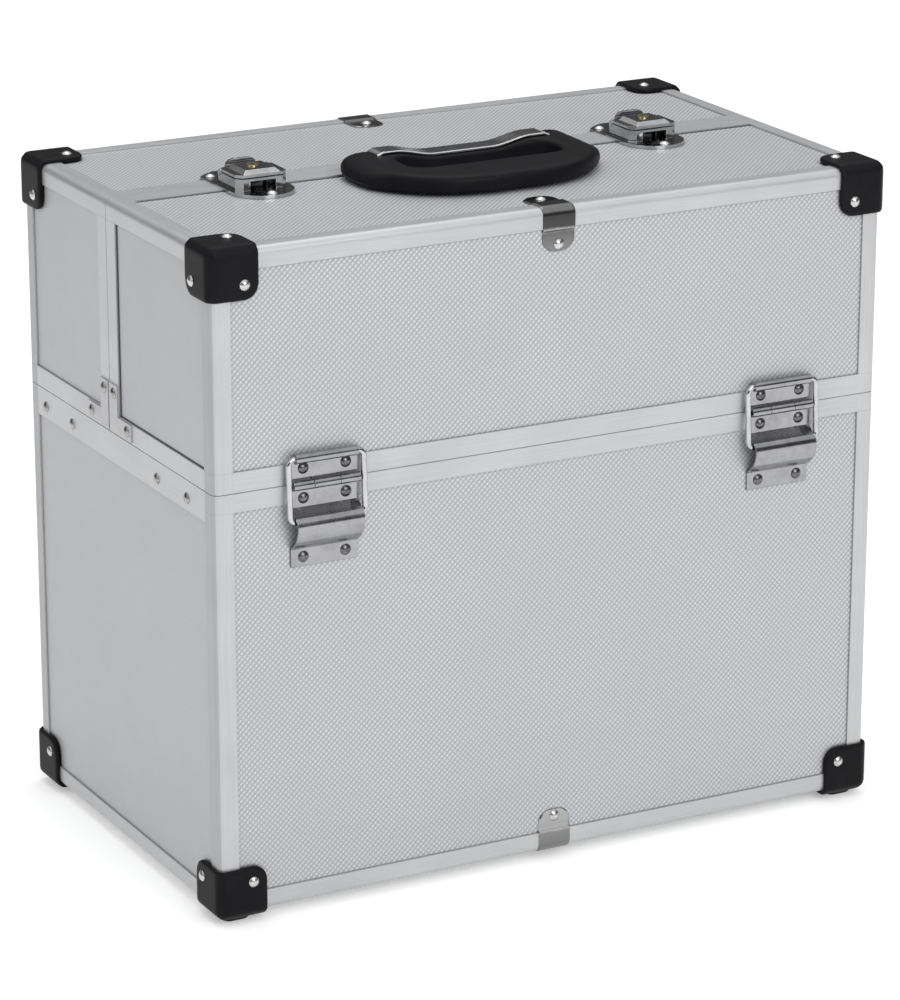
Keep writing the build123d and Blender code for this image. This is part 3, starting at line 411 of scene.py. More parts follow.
def black_material(name, ribs=False):
    """Black moulding with a fine leathery grain and a faint bloom, ribbed at its foot on request."""
    material = new_material(name)
    grain = noise(material, 0.45, detail=3.0, roughness=0.6)
    bloom = noise(material, 14.0, detail=3.0)
    tone = maths(material, "MULTIPLY_ADD", grain, 0.35, maths(material, "MULTIPLY", bloom, 0.65))
    dark, middle, light = (0.0044, 0.0036, 0.0046), (0.0072, 0.0060, 0.0074), (0.012, 0.0105, 0.0123)
    colour = ramp(material, tone, [(0.25, dark), (0.55, middle), (0.8, light)])
    roughness = maths(material, "MULTIPLY_ADD", grain, 0.16, 0.40)
    height = grain
    if ribs:
        at = axes(material)
        low = maths(material, "LESS_THAN", at["Z"], PIVOT_Z + GRIP_LOW + RIB_TOP)
        wave = maths(material, "SINE", maths(material, "MULTIPLY", at["X"], 2 * math.pi / RIB_PITCH))
        height = maths(material, "MULTIPLY_ADD", maths(material, "MULTIPLY", wave, low), 2.0, grain)
    return finish_material(
        material, colour, roughness, height, depth=0.05 * MM, strength=0.35, Specular_IOR_Level=0.12,
    )


def lining_material():
    """Dark soft lining sheet with a pebbled face."""
    material = new_material("foam_lining")
    inputs = {"Vector": place(material), "Scale": 1 / 1.4}
    pebbles = node(material, "ShaderNodeTexVoronoi", inputs, feature="SMOOTH_F1").outputs["Distance"]
    bloom = noise(material, 25.0, detail=4.0)
    colour = ramp(material, bloom, [(0.3, (0.016, 0.016, 0.018)), (0.7, (0.034, 0.034, 0.038))])
    roughness = maths(material, "MULTIPLY_ADD", bloom, 0.15, 0.75)
    return finish_material(material, colour, roughness, pebbles, depth=0.25 * MM, strength=0.6)


def brass_material():
    """Brass face of the lock barrel, over a dull steel barrel."""
    material = new_material("key_brass")
    rubbed = noise(material, 1.6, detail=4.0)
    stops = [(0.3, (0.55, 0.42, 0.20)), (0.6, (0.78, 0.63, 0.34)), (0.85, (0.88, 0.76, 0.48))]
    brass = ramp(material, rubbed, stops)
    steel = ramp(material, rubbed, [(0.3, (0.030, 0.030, 0.032)), (0.8, (0.10, 0.10, 0.10))])
    under = maths(material, "LESS_THAN", axes(material)["Z"], Z_TOP + KEY_FACE - BRASS_T)
    colour = mixed(material, under, brass, steel)
    roughness = maths(material, "MULTIPLY_ADD", rubbed, 0.2, 0.16)
    return finish_material(
        material, colour, roughness, rubbed, depth=0.02 * MM, strength=0.4, edge=0.2 * MM, Metallic=1.0,
    )


def rivet_material():
    """Rivet heads: bright and satin, with painted grey reflection on the side rims and painted dark reflection
    on the hinges.
    """
    material = new_material("rivet_steel")
    at = axes(material)
    x, y = (maths(material, "ABSOLUTE", at[axis]) for axis in "XY")
    near = maths(material, "LESS_THAN", away_from(material, x, HINGE_X), HINGE_HALF)
    on_hinge = maths(material, "MULTIPLY", near, maths(material, "GREATER_THAN", y, HALF_D - 1))
    by_seam = maths(material, "LESS_THAN", away_from(material, at["Z"], Z_SEAM), SIDE_RIVET_REACH)
    on_rim = maths(material, "MULTIPLY", by_seam, maths(material, "GREATER_THAN", x, HALF_W - 1))
    rubbed = noise(material, 1.3, detail=3.0)
    bright = ramp(material, rubbed, [(0.3, (0.46, 0.455, 0.44)), (0.7, (0.66, 0.655, 0.64))])
    # Painted reflection: heads near the seam on the sides are greyer, and heads on the hinges are dark.
    grey = ramp(material, rubbed, [(0.3, (0.26, 0.25, 0.24)), (0.7, (0.46, 0.45, 0.44))])
    dull = ramp(material, rubbed, [(0.3, (0.10, 0.10, 0.105)), (0.7, (0.20, 0.20, 0.205))])
    colour = mixed(material, on_hinge, mixed(material, on_rim, bright, grey), dull)
    roughness = maths(material, "MULTIPLY_ADD", rubbed, 0.16, 0.20)
    return finish_material(material, colour, roughness, rubbed, depth=0.01 * MM, strength=0.3, Metallic=1.0)


def clip_material(name, stops):
    """Thin plated strip with painted reflection that follows its bends, and random smudges: stops are
    (millimetres from the edge, grey).
    """
    material = new_material(name)
    middle = (Z_TOP + Z_BOTTOM) / 2
    away = away_from(material, axes(material)["Z"], middle)
    depth = maths(material, "SUBTRACT", Z_TOP - middle, away)
    smudge = noise(material, 3.0, detail=3.0)
    depth = maths(material, "ADD", depth, maths(material, "MULTIPLY_ADD", smudge, 1.6, -0.8))
    stops = [(at / CLIP_REFLECTION_REACH, grey) for at, grey in stops]
    # Painted reflection and painted highlight: grey by depth from the edge, dark bands and a bright line at
    # the step.
    colour = ramp(material, maths(material, "DIVIDE", depth, CLIP_REFLECTION_REACH), stops)
    roughness = maths(material, "MULTIPLY_ADD", smudge, 0.14, 0.13)
    return finish_material(
        material, colour, roughness, smudge, depth=0.03 * MM, strength=0.3, Metallic=1.0,
    )


looks = {
    "embossed_board": board_material(),
    "aluminium_rail": rail_material("aluminium_rail", HALF_W - RAIL_W, HALF_D - RAIL_W),
    "moulded_black": black_material("moulded_black"),
    "plated_steel": steel_material("plated_steel", (0.38, 0.375, 0.37), 0.20, 0.25),
    "chromed_steel": steel_material("chromed_steel", (0.52, 0.52, 0.525), 0.12, 0.2),
    "rivet_steel": rivet_material(),
    "key_brass": brass_material(),
    "foam_lining": lining_material(),
}

catch_steel = steel_material("catch_steel", (0.26, 0.26, 0.265), 0.2, 0.3)
hinge_steel = steel_material("hinge_steel", (0.35, 0.35, 0.36), 0.16, 0.2)
plate_steel = steel_material("plate_steel", (0.58, 0.58, 0.59), 0.5, 0.15, metallic=0.6)

# Nodes that look a little different from the rest of their slot
own_looks = {
    "front_lid_left_panel": board_material("left_board", LEFT_SHADOW_LINES),
    "front_lid_top_panel": board_material("top_board", TOP_SHADOW_LINES),
    "back_lid_top_panel": board_material("back_board", BACK_SHADOW_LINES),
    "front_lid_edge_clip": clip_material("top_clip_steel", TOP_CLIP_REFLECTION_STOPS),
    "back_lid_edge_clip": clip_material("back_clip_steel", TOP_CLIP_REFLECTION_STOPS),
    "base_edge_clips": clip_material("low_clip_steel", LOW_CLIP_REFLECTION_STOPS),
    "handle_grip": black_material("handle_black", ribs=True),
    "handle_strap": steel_material("strap_steel", (0.66, 0.66, 0.67), 0.16, 0.15),
    "latch_catch_left": catch_steel, "latch_catch_right": catch_steel,
    "front_lid_corner_plates": plate_steel, "back_lid_corner_plates": plate_steel,
}
for end in HINGES:
    own_looks["hinge_upper_leaf_" + end] = own_looks["hinge_lower_leaf_" + end] = hinge_steel


def look_of(node_name):
    """The material of a node, and of the piece that replaces it."""
    return own_looks.get(node_name, looks[SLOT_OF[node_name]])


# Smooth pieces that stand for faceted nodes

def clean_copy(name):
    """A bmesh of a node, with its doubled points joined and its flat faces whole."""
    shape = bmesh.new()
    shape.from_mesh(frame["nodes"][name].data)
    bmesh.ops.remove_doubles(shape, verts=shape.verts, dist=1e-6)
    bmesh.ops.dissolve_limit(shape, angle_limit=math.radians(0.5), verts=shape.verts, edges=shape.edges)
    return shape


def shade_smooth(mesh, sharp=None):
    """Smooth shading, kept sharp where faces meet at more than the given angle in degrees."""
    mesh.polygons.foreach_set("use_smooth", [True] * len(mesh.polygons))
    if sharp is not None:
        mesh.set_sharp_from_angle(angle=math.radians(sharp))


def add_piece(name, shape, node_name, sharp=None):
    """A finished piece from a bmesh, with the look and slot of a node, and riding on its body."""
    mesh = bpy.data.meshes.new(name)
    shape.to_mesh(mesh)
    shape.free()
    shade_smooth(mesh, sharp)
    piece = bpy.data.objects.new(name, mesh)
    bpy.context.scene.collection.objects.link(piece)
    mesh.materials.append(look_of(node_name))
    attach(piece, BODY_OF[node_name])
    return piece


def apply_modifiers(piece):
    """Turns the modifiers into plain mesh."""
    bpy.context.view_layer.update()
    evaluated = piece.evaluated_get(bpy.context.evaluated_depsgraph_get())
    mesh = bpy.data.meshes.new_from_object(evaluated)
    piece.modifiers.clear()
    piece.data = mesh


def softened(name, width):
    """A node with rounded edges, as pressed or moulded parts have."""
    piece = add_piece(name + "_soft", clean_copy(name), name)
    bevel = piece.modifiers.new("edges", "BEVEL")
    bevel.width = width
    bevel.segments = 2
    bevel.limit_method = "ANGLE"
    bevel.angle_limit = math.radians(30)
    level = piece.modifiers.new("level", "WEIGHTED_NORMAL")
    level.keep_sharp = True
    apply_modifiers(piece)
    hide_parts(name)


def melted(name, voxel, rounds):
    """A node remeshed finely and smoothed, for thick mouldings with pillowed faces."""
    piece = add_piece(name + "_soft", clean_copy(name), name)
    remesh = piece.modifiers.new("fine", "REMESH")
    remesh.mode = "VOXEL"
    remesh.voxel_size = voxel
    smooth = piece.modifiers.new("smooth", "SMOOTH")
    smooth.factor = 0.5
    smooth.iterations = rounds
    apply_modifiers(piece)
    shade_smooth(piece.data)
    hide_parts(name)


def islands(shape):
    """The separate solids in a bmesh, each as its list of points."""
    seen = set()
    groups = []
    for start in shape.verts:
        if start in seen:
            continue
        seen.add(start)
        stack, group = [start], []
        while stack:
            vert = stack.pop()
            group.append(vert)
            for edge in vert.link_edges:
                other = edge.other_vert(vert)
                if other not in seen:
                    seen.add(other)
                    stack.append(other)
        groups.append(group)
    return groups


def bridge(into, rows):
    """Quads between each closed row of points and the next."""
    count = len(rows[0])
    for low, high in zip(rows, rows[1:]):
        for side in range(count):
            after = (side + 1) % count
            into.faces.new((low[side], low[after], high[after], high[side]))


def dome(into, centre, axis, radius, height):
    """A round rivet head: a part of a ball that stands on a short upright rim."""
    up = Vector(axis).normalized()
    over = up.orthogonal().normalized()
    aside = up.cross(over)
    ball = (radius ** 2 + height ** 2) / (2 * height)
    profile = [(radius * 0.98, 0.0), (radius, height * 0.08)]
    for step in range(1, DOME_RINGS):
        angle = math.asin(radius / ball) * (1 - step / DOME_RINGS)
        profile.append((max(ball * math.sin(angle), 0.0), height - ball * (1 - math.cos(angle))))
    rows = []
    for out, rise in profile:
        row = []
        for side in range(DOME_SIDES):
            turn = 2 * math.pi * side / DOME_SIDES
            spot = Vector(centre) + up * rise + (over * math.cos(turn) + aside * math.sin(turn)) * out
            row.append(into.verts.new(spot))
        rows.append(row)
    bridge(into, rows)
    top = into.verts.new(Vector(centre) + up * height)
    for side in range(DOME_SIDES):
        into.faces.new((rows[-1][side], rows[-1][(side + 1) % DOME_SIDES], top))
    into.faces.new(list(reversed(rows[0])))


def rivet_domes(name):
    """Smooth heads in the places of a node's faceted rivets."""
    facets = clean_copy(name)
    heads = bmesh.new()
    for group in islands(facets):
        points = [vert.co for vert in group]
        middle = sum(points, Vector()) / len(points)
        spans = [max(p[i] for p in points) - min(p[i] for p in points) for i in range(3)]
        axis = spans.index(min(spans))
        low = min(p[axis] for p in points)
        high = max(p[axis] for p in points)

        def reach(level):
            """How far from the middle the points at one level are."""
            ring = [p for p in points if abs(p[axis] - level) < 1e-5]
            return max((p - middle).length for p in ring)

        outward = reach(high) < reach(low)
        foot, top = (low, high) if outward else (high, low)
        normal = Vector((0, 0, 0))
        normal[axis] = 1 if outward else -1
        centre = middle.copy()
        centre[axis] = foot
        dome(heads, centre, normal, max(spans) / 2, abs(top - foot))
    facets.free()
    piece = add_piece(name + "_domes", heads, name)
    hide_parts(name)


def ring_mesh(rings, looped=True):
    """A bmesh of quads between equal rings of points: joined end to end, or capped at both ends."""
    shape = bmesh.new()
    rows = [[shape.verts.new(point) for point in ring] for ring in rings]
    if looped:
        bridge(shape, [*rows, rows[0]])
    else:
        bridge(shape, rows)
        shape.faces.new(list(reversed(rows[0])))
        shape.faces.new(rows[-1])
    bmesh.ops.recalc_face_normals(shape, faces=shape.faces)
    return shape


def circle(centre, radius, sides=36):
    """Points of a circle in a section."""
    turns = [2 * math.pi * side / sides for side in range(sides)]
    return [(centre[0] + radius * math.cos(turn), centre[1] + radius * math.sin(turn)) for turn in turns]


def stay_wire(name, node_name):
    """The closed wire frame of a stay, as one round bar bent at four corners."""
    low, high = (Vector(point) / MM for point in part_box(node_name))
    outward = -1 if low.y < 0 else 1
    lean = math.radians(STAY_LEAN)
    down = Vector((0, -outward * math.sin(lean), -math.cos(lean)))
    origin = Vector(((low.x + high.x) / 2, outward * (HALF_D + KNUCKLE_R), Z_SEAM + STAY_PIVOT_H))
    half = (high.x - low.x) / 2 - STAY_R
    path = []
    for x, run, start in ((half, 0, -90), (half, STAY_L, 0), (-half, STAY_L, 90), (-half, 0, 180)):
        bend_x = x - math.copysign(STAY_CORNER, x)
        bend_run = run + (STAY_CORNER if run == 0 else -STAY_CORNER)
        for step in range(STAY_BEND_STEPS + 1):
            angle = math.radians(start + 90 * step / STAY_BEND_STEPS)
            across = Vector((bend_x + STAY_CORNER * math.cos(angle), 0, 0))
            path.append(origin + across + down * (bend_run + STAY_CORNER * math.sin(angle)))
    normal = Vector((1, 0, 0)).cross(down).normalized()
    rings = []
    for index, spot in enumerate(path):
        ahead = (path[(index + 1) % len(path)] - path[index - 1]).normalized()
        across = ahead.cross(normal).normalized()
        ring = circle((0, 0), STAY_R, STAY_SIDES)
        rings.append([(spot + across * aside + normal * out) * MM for aside, out in ring])
    piece = add_piece(name, ring_mesh(rings), node_name)
    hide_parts(node_name)


def hinge_run(into, section, middle_x, outward, low, high):
    """A hinge section, out from the face and up from the seam, run from one place across to another."""
    rings = []
    for x in (low, high):
        rings.append([
            into.verts.new(Vector((middle_x + x, outward * (HALF_D + out), Z_SEAM + up)) * MM)
            for out, up in section
        ])
    count = len(section)
    faces = [into.faces.new(rings[0]), into.faces.new(list(reversed(rings[1])))]
    for side in range(count):
        after = (side + 1) % count
        faces.append(into.faces.new((rings[0][after], rings[0][side], rings[1][side], rings[1][after])))
    bmesh.ops.recalc_face_normals(into, faces=faces)


def stay_point(swing):
    """Distance out from the face and height above the seam of the stay's lower bar."""
    turn, lean = math.radians(swing), math.radians(STAY_LEAN + STAY_SHARE * swing)
    out = KNUCKLE_R + STAY_PIVOT_H * math.sin(turn) - STAY_L * math.sin(lean)
    return out, STAY_PIVOT_H * math.cos(turn) - STAY_L * math.cos(lean)


def pocket_points(clear):
    """Places at one distance outside the bar's path, from the closed lid to the open lid."""
    points = []
    for step in range(POCKET_STEPS + 1):
        swing = LID_SWING * step / POCKET_STEPS
        out, up = stay_point(swing)
        before, after = stay_point(swing - 2), stay_point(swing + 2)
        side = math.atan2(after[1] - before[1], after[0] - before[0]) + math.pi / 2
        points.append((out + clear * math.cos(side), up + clear * math.sin(side)))
    return points


def leaf_pair(end, middle_x, outward):
    """Both leaves of one hinge with a smoothly rounded pocket, roll and knuckles."""
    top = -KNUCKLE_R - KNUCKLE_GAP
    inner = pocket_points(STAY_R + POCKET_FIT)
    outer = pocket_points(STAY_R + POCKET_FIT + LEAF_T)
    flange = LEAF_T - WALL
    section = [(0, top), (LEAF_T, top), (LEAF_T, POCKET_TOP), *outer]
    section += [(flange, POCKET_END - LEAF_T / 2), (flange, FLANGE_END), (-WALL, FLANGE_END)]
    section += [(-WALL, POCKET_END), *reversed(inner), (0, POCKET_TOP - LEAF_T / 2)]
    lower = bmesh.new()
    hinge_run(lower, section, middle_x, outward, -HINGE_HALF, HINGE_HALF)
    knuckle = circle((KNUCKLE_R, 0), KNUCKLE_R)
    tongue = [(0, top), (LEAF_T, top), (LEAF_T, 0), (0, 0)]
    for low, high in ((-HINGE_HALF, -MIDDLE_KNUCKLE_HALF), (MIDDLE_KNUCKLE_HALF, HINGE_HALF)):
        hinge_run(lower, knuckle, middle_x, outward, low, high)
        hinge_run(lower, tongue, middle_x, outward, low, high)
    upper = bmesh.new()
    plate = [(0, -top), (LEAF_T, -top), (LEAF_T, STAY_PIVOT_H), (0, STAY_PIVOT_H)]
    hinge_run(upper, plate, middle_x, outward, -HINGE_HALF, HINGE_HALF)
    hinge_run(upper, circle((KNUCKLE_R, STAY_PIVOT_H), KNUCKLE_R), middle_x, outward, -ROLL_HALF, ROLL_HALF)
    reach = MIDDLE_KNUCKLE_HALF - KNUCKLE_GAP
    hinge_run(upper, knuckle, middle_x, outward, -reach, reach)
    hinge_run(upper, [(0, 0), (LEAF_T, 0), (LEAF_T, -top), (0, -top)], middle_x, outward, -reach, reach)
    for part, shape in (("lower", lower), ("upper", upper)):
        node_name = "hinge_%s_leaf_%s" % (part, end)
        piece = add_piece("%s_leaf_%s" % (part, end), shape, node_name, sharp=30)
        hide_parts(node_name)


def spline_loop(points, count):
    """A smooth closed line through the points, as evenly spaced places from the first point on."""
    fine = []
    total = len(points)
    for index in range(total):
        a, b, c, d = (Vector(points[(index + shift) % total]) for shift in (-1, 0, 1, 2))
        square, cube = 2 * a - 5 * b + 4 * c - d, 3 * b - a - 3 * c + d
        for step in range(24):
            t = step / 24
            fine.append(0.5 * ((2 * b) + (c - a) * t + square * t ** 2 + cube * t ** 3))
    lengths = [0.0]
    for index in range(len(fine)):
        lengths.append(lengths[-1] + (fine[(index + 1) % len(fine)] - fine[index]).length)
    places = []
    at = 0
    for index in range(count):
        wanted = lengths[-1] * index / count
        while lengths[at + 1] < wanted:
            at += 1
        share = (wanted - lengths[at]) / (lengths[at + 1] - lengths[at])
        places.append(fine[at].lerp(fine[(at + 1) % len(fine)], share))
    return places


def smoothstep(low, high, value):
    """0 below low, 1 above high, and a smooth rise between."""
    share = min(max((value - low) / (high - low), 0.0), 1.0)
    return share * share * (3 - 2 * share)


def strap_wave(x):
    """Height of the strap's underside: low in the middle and high at both ends."""
    return GRIP_HIGH - STRAP_DIP * (1 - smoothstep(STRAP_HALF * 0.33, STRAP_HALF * 0.80, abs(x)))


def grip_top(x, forward):
    """Height of the grip's upper face: low at both ends, sunk under the strap, falling a little forward."""
    end = max(0.0, (abs(x) - (GRIP_HALF - GRIP_END_L)) / GRIP_END_L)
    crown = GRIP_HIGH - (GRIP_HIGH - GRIP_END_HIGH) * end ** 2.3 - 1.3 * max(0.0, forward / GRIP_FRONT) ** 1.5
    sunk = min(crown, strap_wave(x) - 0.05)
    share = smoothstep(STRAP_W - STRAP_BACK, STRAP_W - STRAP_BACK + 7, forward)
    return sunk + (crown - sunk) * share if abs(x) < STRAP_HALF + 1 else crown


def handle_spot(x, forward, up):
    """A place on the handle in the frame, in metres."""
    return Vector((x, PIVOT_Y - forward, PIVOT_Z + up)) * MM


def mirrored(points, near, far):
    """A closed outline from its right half, between its two places on the middle line."""
    return [near, *points, far, *[(-x, forward) for x, forward in reversed(points)]]


def inset(loop, amount):
    """The loop moved inward by an amount, or outward where it is negative."""
    moved = []
    for index, spot in enumerate(loop):
        ahead = (loop[(index + 1) % len(loop)] - loop[index - 1]).normalized()
        moved.append(spot + Vector((ahead.y, -ahead.x)) * amount)
    return moved


def level_ring(loop, up):
    """A loop of the grip at one height over its foot."""
    return [handle_spot(x, forward, GRIP_LOW + up) for x, forward in loop]


def sunk_ring(loop, drop, least=None):
    """A loop of the grip at one depth under its upper face, and no lower than least over its foot."""
    heights = [grip_top(x, forward) - drop for x, forward in loop]
    if least is not None:
        heights = [max(height, GRIP_LOW + least) for height in heights]
    return [handle_spot(x, forward, height) for (x, forward), height in zip(loop, heights)]


def grip_rings():
    """Rings of the grip: up its outside, over its top and down round the finger opening."""
    half = [(16, GRIP_FRONT), (34, GRIP_FRONT - 4), (48, GRIP_FRONT - 12), (60, GRIP_FRONT - 25)]
    half += [(GRIP_HALF - 1.2, 28), (GRIP_HALF - 0.3, 10), (GRIP_HALF - 2.5, 0)]
    half += [(GRIP_HALF - 8, -GRIP_BACK), (30, -GRIP_BACK)]
    gap = [(20, GAP_FAR), (GAP_HALF - 9, GAP_FAR - 0.4), (GAP_HALF - 2, GAP_FAR - 4)]
    gap += [(GAP_HALF, (GAP_NEAR + GAP_FAR) / 2), (GAP_HALF - 2, GAP_NEAR + 4)]
    gap += [(GAP_HALF - 9, GAP_NEAR + 0.4), (20, GAP_NEAR)]
    outer = spline_loop(mirrored(half, (0, GRIP_FRONT), (0, -GRIP_BACK)), GRIP_POINTS)
    inner = spline_loop(mirrored(gap, (0, GAP_FAR), (0, GAP_NEAR)), GRIP_POINTS)
    rings = [level_ring(inset(outer, amount), up) for amount, up in ((2.0, 0.0), (0.7, 0.5), (0.0, 2.0))]
    for amount, drop in ((0.0, 2.8), (0.45, 1.5), (1.3, 0.55), (3.0, 0.0)):
        rings.append(sunk_ring(inset(outer, amount), drop, 2.1))
    rim, lip = inset(outer, 3.0), inset(inner, -2.4)
    for share in (0.2, 0.4, 0.6, 0.8, 1.0):
        rings.append(sunk_ring([a.lerp(b, share) for a, b in zip(rim, lip)], 0.0))
    for amount, drop in ((-1.0, 0.5), (-0.25, 1.4), (0.0, 2.6)):
        rings.append(sunk_ring(inset(inner, amount), drop, 1.6))
    for amount, up in ((0.0, 1.4), (-0.5, 0.4), (-1.4, 0.0)):
        rings.append(level_ring(inset(inner, amount), up))
    return rings


def add_journals(mesh):
    """Round bars across the two notches, on which the grip turns in its saddles."""
    shape = bmesh.new()
    shape.from_mesh(mesh)
    half = NOTCH_HALF + JOURNAL_IN
    for middle in (-SADDLE_X, SADDLE_X):
        rows = []
        for x in (middle - half, middle + half):
            ring = circle((0, 0), JOURNAL_R, JOURNAL_SIDES)
            rows.append([shape.verts.new(handle_spot(x, forward, up)) for forward, up in ring])
        bridge(shape, rows)
        shape.faces.new(rows[0])
        shape.faces.new(rows[1])
    bmesh.ops.recalc_face_normals(shape, faces=shape.faces)
    shape.to_mesh(mesh)
    shape.free()


def grip():
    """Moulded ring of the handle: rounded inside and out, notched for the two saddles."""
    piece = add_piece("grip_moulding", ring_mesh(grip_rings()), "handle_grip")
    for middle in (-SADDLE_X, SADDLE_X):
        for forward, up in NOTCH_CUTS:
            low = handle_spot(middle - NOTCH_HALF, forward, NOTCH_PAST)
            high = handle_spot(middle + NOTCH_HALF, NOTCH_PAST, up)
            cut_box(piece, low, high)
    apply_modifiers(piece)
    for cutter in [o for o in bpy.data.objects if o.name.startswith("cutter")]:
        bpy.data.objects.remove(cutter)
    add_journals(piece.data)
    shade_smooth(piece.data, sharp=50)
    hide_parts("handle_grip")


def cut_box(piece, low, high):
    """Takes a box out of a piece."""
    shape = bmesh.new()
    bmesh.ops.create_cube(shape, size=1)
    for vert in shape.verts:
        share = vert.co + Vector((0.5, 0.5, 0.5))
        vert.co = Vector([low[i] + (high[i] - low[i]) * share[i] for i in range(3)])
    bmesh.ops.recalc_face_normals(shape, faces=shape.faces)
    mesh = bpy.data.meshes.new("cutter")
    shape.to_mesh(mesh)
    shape.free()
    cutter = bpy.data.objects.new("cutter", mesh)
    bpy.context.scene.collection.objects.link(cutter)
    change = piece.modifiers.new("cut", "BOOLEAN")
    change.operation = "DIFFERENCE"
    change.solver = "EXACT"
    change.object = cutter


def strap():
    """Steel strip on the grip: a smooth wave with rounded edges."""
    edge = STRAP_T * 0.3
    back, front = -STRAP_BACK, STRAP_W - STRAP_BACK
    profile = [(back, edge), (back + edge, 0), (front - edge, 0), (front, edge)]
    profile += [(front, STRAP_T - edge), (front - edge, STRAP_T)]
    profile += [(back + edge, STRAP_T), (back, STRAP_T - edge)]
    rings = []
    for step in range(STRAP_STEPS + 1):
        x = -STRAP_HALF + 2 * STRAP_HALF * step / STRAP_STEPS
        tab = 1.1 * smoothstep(STRAP_HALF - 3.5, STRAP_HALF, abs(x))
        rings.append([handle_spot(x, forward, strap_wave(x) - tab + up) for forward, up in profile])
    piece = add_piece("strap_strip", ring_mesh(rings, looped=False), "handle_strap", sharp=28)
    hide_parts("handle_strap")


def clip_section():
    """Outer line, inner line and half width along a clip, from the end of one leg to the other's."""
    face = BOARD_SUNK - CLIP_T
    far = CLIP_STEP_AT + BOARD_SUNK
    rise = CLIP_T * 0.4
    turns = [math.pi / 2 * step / CLIP_STEPS for step in range(CLIP_STEPS + 1)]
    outer = [(far + rise, face), (CLIP_STEP_AT + rise, -CLIP_T)]
    inner = [(far, BOARD_SUNK), (CLIP_STEP_AT, 0.0)]
    for turn in turns:
        for line, radius in ((outer, EDGE_R + CLIP_T), (inner, EDGE_R)):
            line.append((EDGE_R - radius * math.sin(turn), EDGE_R - radius * math.cos(turn)))
    outer += [(-CLIP_T, CLIP_STEP_AT + rise), (face, far + rise)]
    inner += [(0.0, CLIP_STEP_AT), (BOARD_SUNK, far)]
    halves = [CLIP_HALF] * len(outer)
    for turn in turns:
        half = CLIP_HALF - CLIP_ROUND + CLIP_ROUND * math.cos(turn)
        reach = CLIP_ROUND * (1 - math.sin(turn))
        outer = [(CLIP_TOP_LEG - reach, face), *outer, (face, CLIP_SIDE_LEG - reach)]
        inner = [(CLIP_TOP_LEG - reach, BOARD_SUNK), *inner, (BOARD_SUNK, CLIP_SIDE_LEG - reach)]
        halves = [half, *halves, half]
    return outer, inner, halves


def edge_clips(node_name, outward, upward):
    """Bent clips of one node, with round ends and rubbed rims: on the front or back, top or bottom."""
    shape = bmesh.new()
    for side in outward:
        rings = []
        for out, back, half in zip(*clip_section()):
            rim = half - CLIP_RIM
            ring = []
            for x, level in ((-half, 0), (-half, 0.45), (-rim, 1), (rim, 1), (half, 0.45), (half, 0)):
                along = back[0] + (out[0] - back[0]) * level
                down = back[1] + (out[1] - back[1]) * level
                z = Z_TOP - down if upward else Z_BOTTOM + down
                ring.append(Vector((x, side * (HALF_D - along), z)) * MM)
            rings.append(ring)
        made = ring_mesh(rings, looped=False)
        mesh = bpy.data.meshes.new("clip")
        made.to_mesh(mesh)
        made.free()
        shape.from_mesh(mesh)
        bpy.data.meshes.remove(mesh)
    piece = add_piece(node_name + "_smooth", shape, node_name, sharp=25)
    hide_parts(node_name)


for name, shape in frame["nodes"].items():
    shape.data.materials.clear()
    shape.data.materials.append(look_of(name))

for name in ("base_rivets", "front_lid_rivets", "back_lid_rivets"):
    rivet_domes(name)
for name in ("base_corner_caps", "front_lid_corner_caps", "back_lid_corner_caps"):
    melted(name, CAP_VOXEL, CAP_ROUNDS)
for name in ("latch_lever_left", "latch_lever_right", "latch_catch_left", "latch_catch_right"):
    softened(name, LATCH_EDGE)
for name in ("latch_plate_left", "latch_plate_right"):
    softened(name, PLATE_EDGE)
edge_clips("front_lid_edge_clip", (-1,), True)
edge_clips("back_lid_edge_clip", (1,), True)
edge_clips("base_edge_clips", (-1, 1), False)
grip()
strap()
for end, (middle_x, outward) in HINGES.items():
    leaf_pair(end, middle_x, outward)
    stay_wire("stay_wire_" + end, "hinge_stay_" + end)


# Floor, light and camera

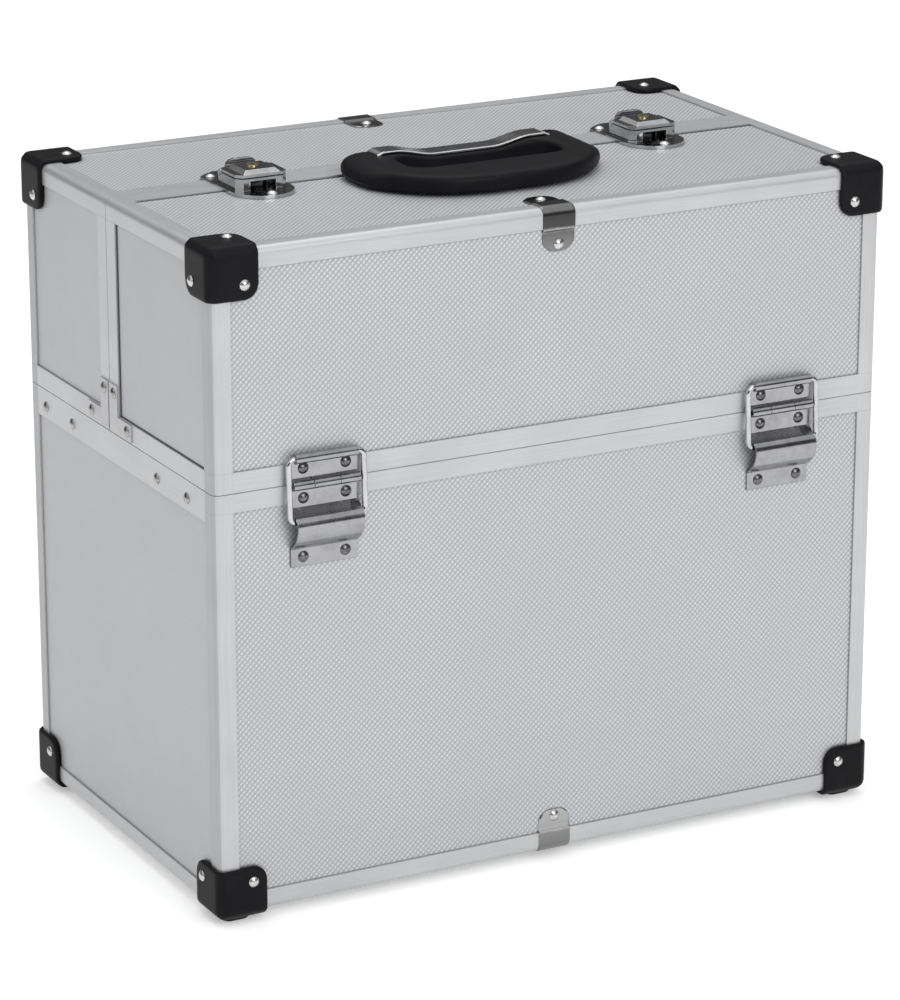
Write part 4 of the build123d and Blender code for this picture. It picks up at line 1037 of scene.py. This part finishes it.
def floor():
    """A wide pale floor that looks white to the camera and keeps the soft shadow."""
    material = new_material("studio_floor")
    shader = material.node_tree.nodes["shader"]
    links = material.node_tree.links
    colour = ramp(material, noise(material, 300.0, detail=2.0), [(0.3, 0.86), (0.7, 0.88)])
    links.new(colour, shader.inputs["Base Color"])
    shader.inputs["Roughness"].default_value = 0.9
    shader.inputs["Specular IOR Level"].default_value = 0.1
    shader.inputs["Emission Color"].default_value = (1, 1, 1, 1)
    rays = node(material, "ShaderNodeLightPath").outputs
    mirrored_rays = maths(material, "MAXIMUM", rays["Is Glossy Ray"], rays["Is Transmission Ray"])
    seen = maths(material, "MAXIMUM", rays["Is Camera Ray"], mirrored_rays)
    links.new(maths(material, "MULTIPLY", seen, FLOOR_GLOW), shader.inputs["Emission Strength"])
    bpy.ops.mesh.primitive_plane_add(size=FLOOR_SIZE)
    plane = bpy.context.object
    plane.name = "studio_floor"
    plane.data.materials.append(material)


def area_light(name, at, target, size, power):
    """A square soft box that looks at a point."""
    data = bpy.data.lights.new(name, "AREA")
    data.size = size
    data.energy = power
    lamp = bpy.data.objects.new(name, data)
    lamp.location = at
    lamp.rotation_euler = (Vector(target) - Vector(at)).to_track_quat("-Z", "Y").to_euler()
    bpy.context.scene.collection.objects.link(lamp)


def studio():
    """Even sky with a darker band at the horizon, and three soft boxes."""
    world = bpy.data.worlds.new("studio")
    world.use_nodes = True
    bpy.context.scene.world = world
    tree = world.node_tree
    background = tree.nodes["Background"]
    spot = tree.nodes.new("ShaderNodeTexCoord").outputs["Generated"]
    split = tree.nodes.new("ShaderNodeSeparateXYZ")
    tree.links.new(spot, split.inputs[0])
    shade = tree.nodes.new("ShaderNodeValToRGB")
    while len(shade.color_ramp.elements) < len(SKY):
        shade.color_ramp.elements.new(0.5)
    for element, (position, level) in zip(shade.color_ramp.elements, SKY):
        element.position = position
        element.color = (*[level * tint for tint in SKY_TINT], 1)
    tree.links.new(split.outputs["Z"], shade.inputs[0])
    tree.links.new(shade.outputs[0], background.inputs["Color"])
    background.inputs["Strength"].default_value = SKY_STRENGTH
    for lamp in LAMPS:
        area_light(*lamp)


def camera():
    """The photograph's viewing angle and distance."""
    data = bpy.data.cameras.new("camera")
    data.lens = LENS
    data.sensor_width = SENSOR_W
    view = bpy.data.objects.new("camera", data)
    turn, rise = math.radians(AZIMUTH), math.radians(ELEVATION)
    back = Vector((math.sin(turn) * math.cos(rise), -math.cos(turn) * math.cos(rise), math.sin(rise)))
    right = Vector((math.cos(turn), math.sin(turn), 0))
    up = back.cross(right)
    view.matrix_world = Matrix((
        (right.x, up.x, back.x, CAMERA_AT[0]),
        (right.y, up.y, back.y, CAMERA_AT[1]),
        (right.z, up.z, back.z, CAMERA_AT[2]),
        (0, 0, 0, 1),
    ))
    bpy.context.scene.collection.objects.link(view)
    bpy.context.scene.camera = view


floor()
studio()
camera()
bpy.context.scene.view_settings.view_transform = "Standard"
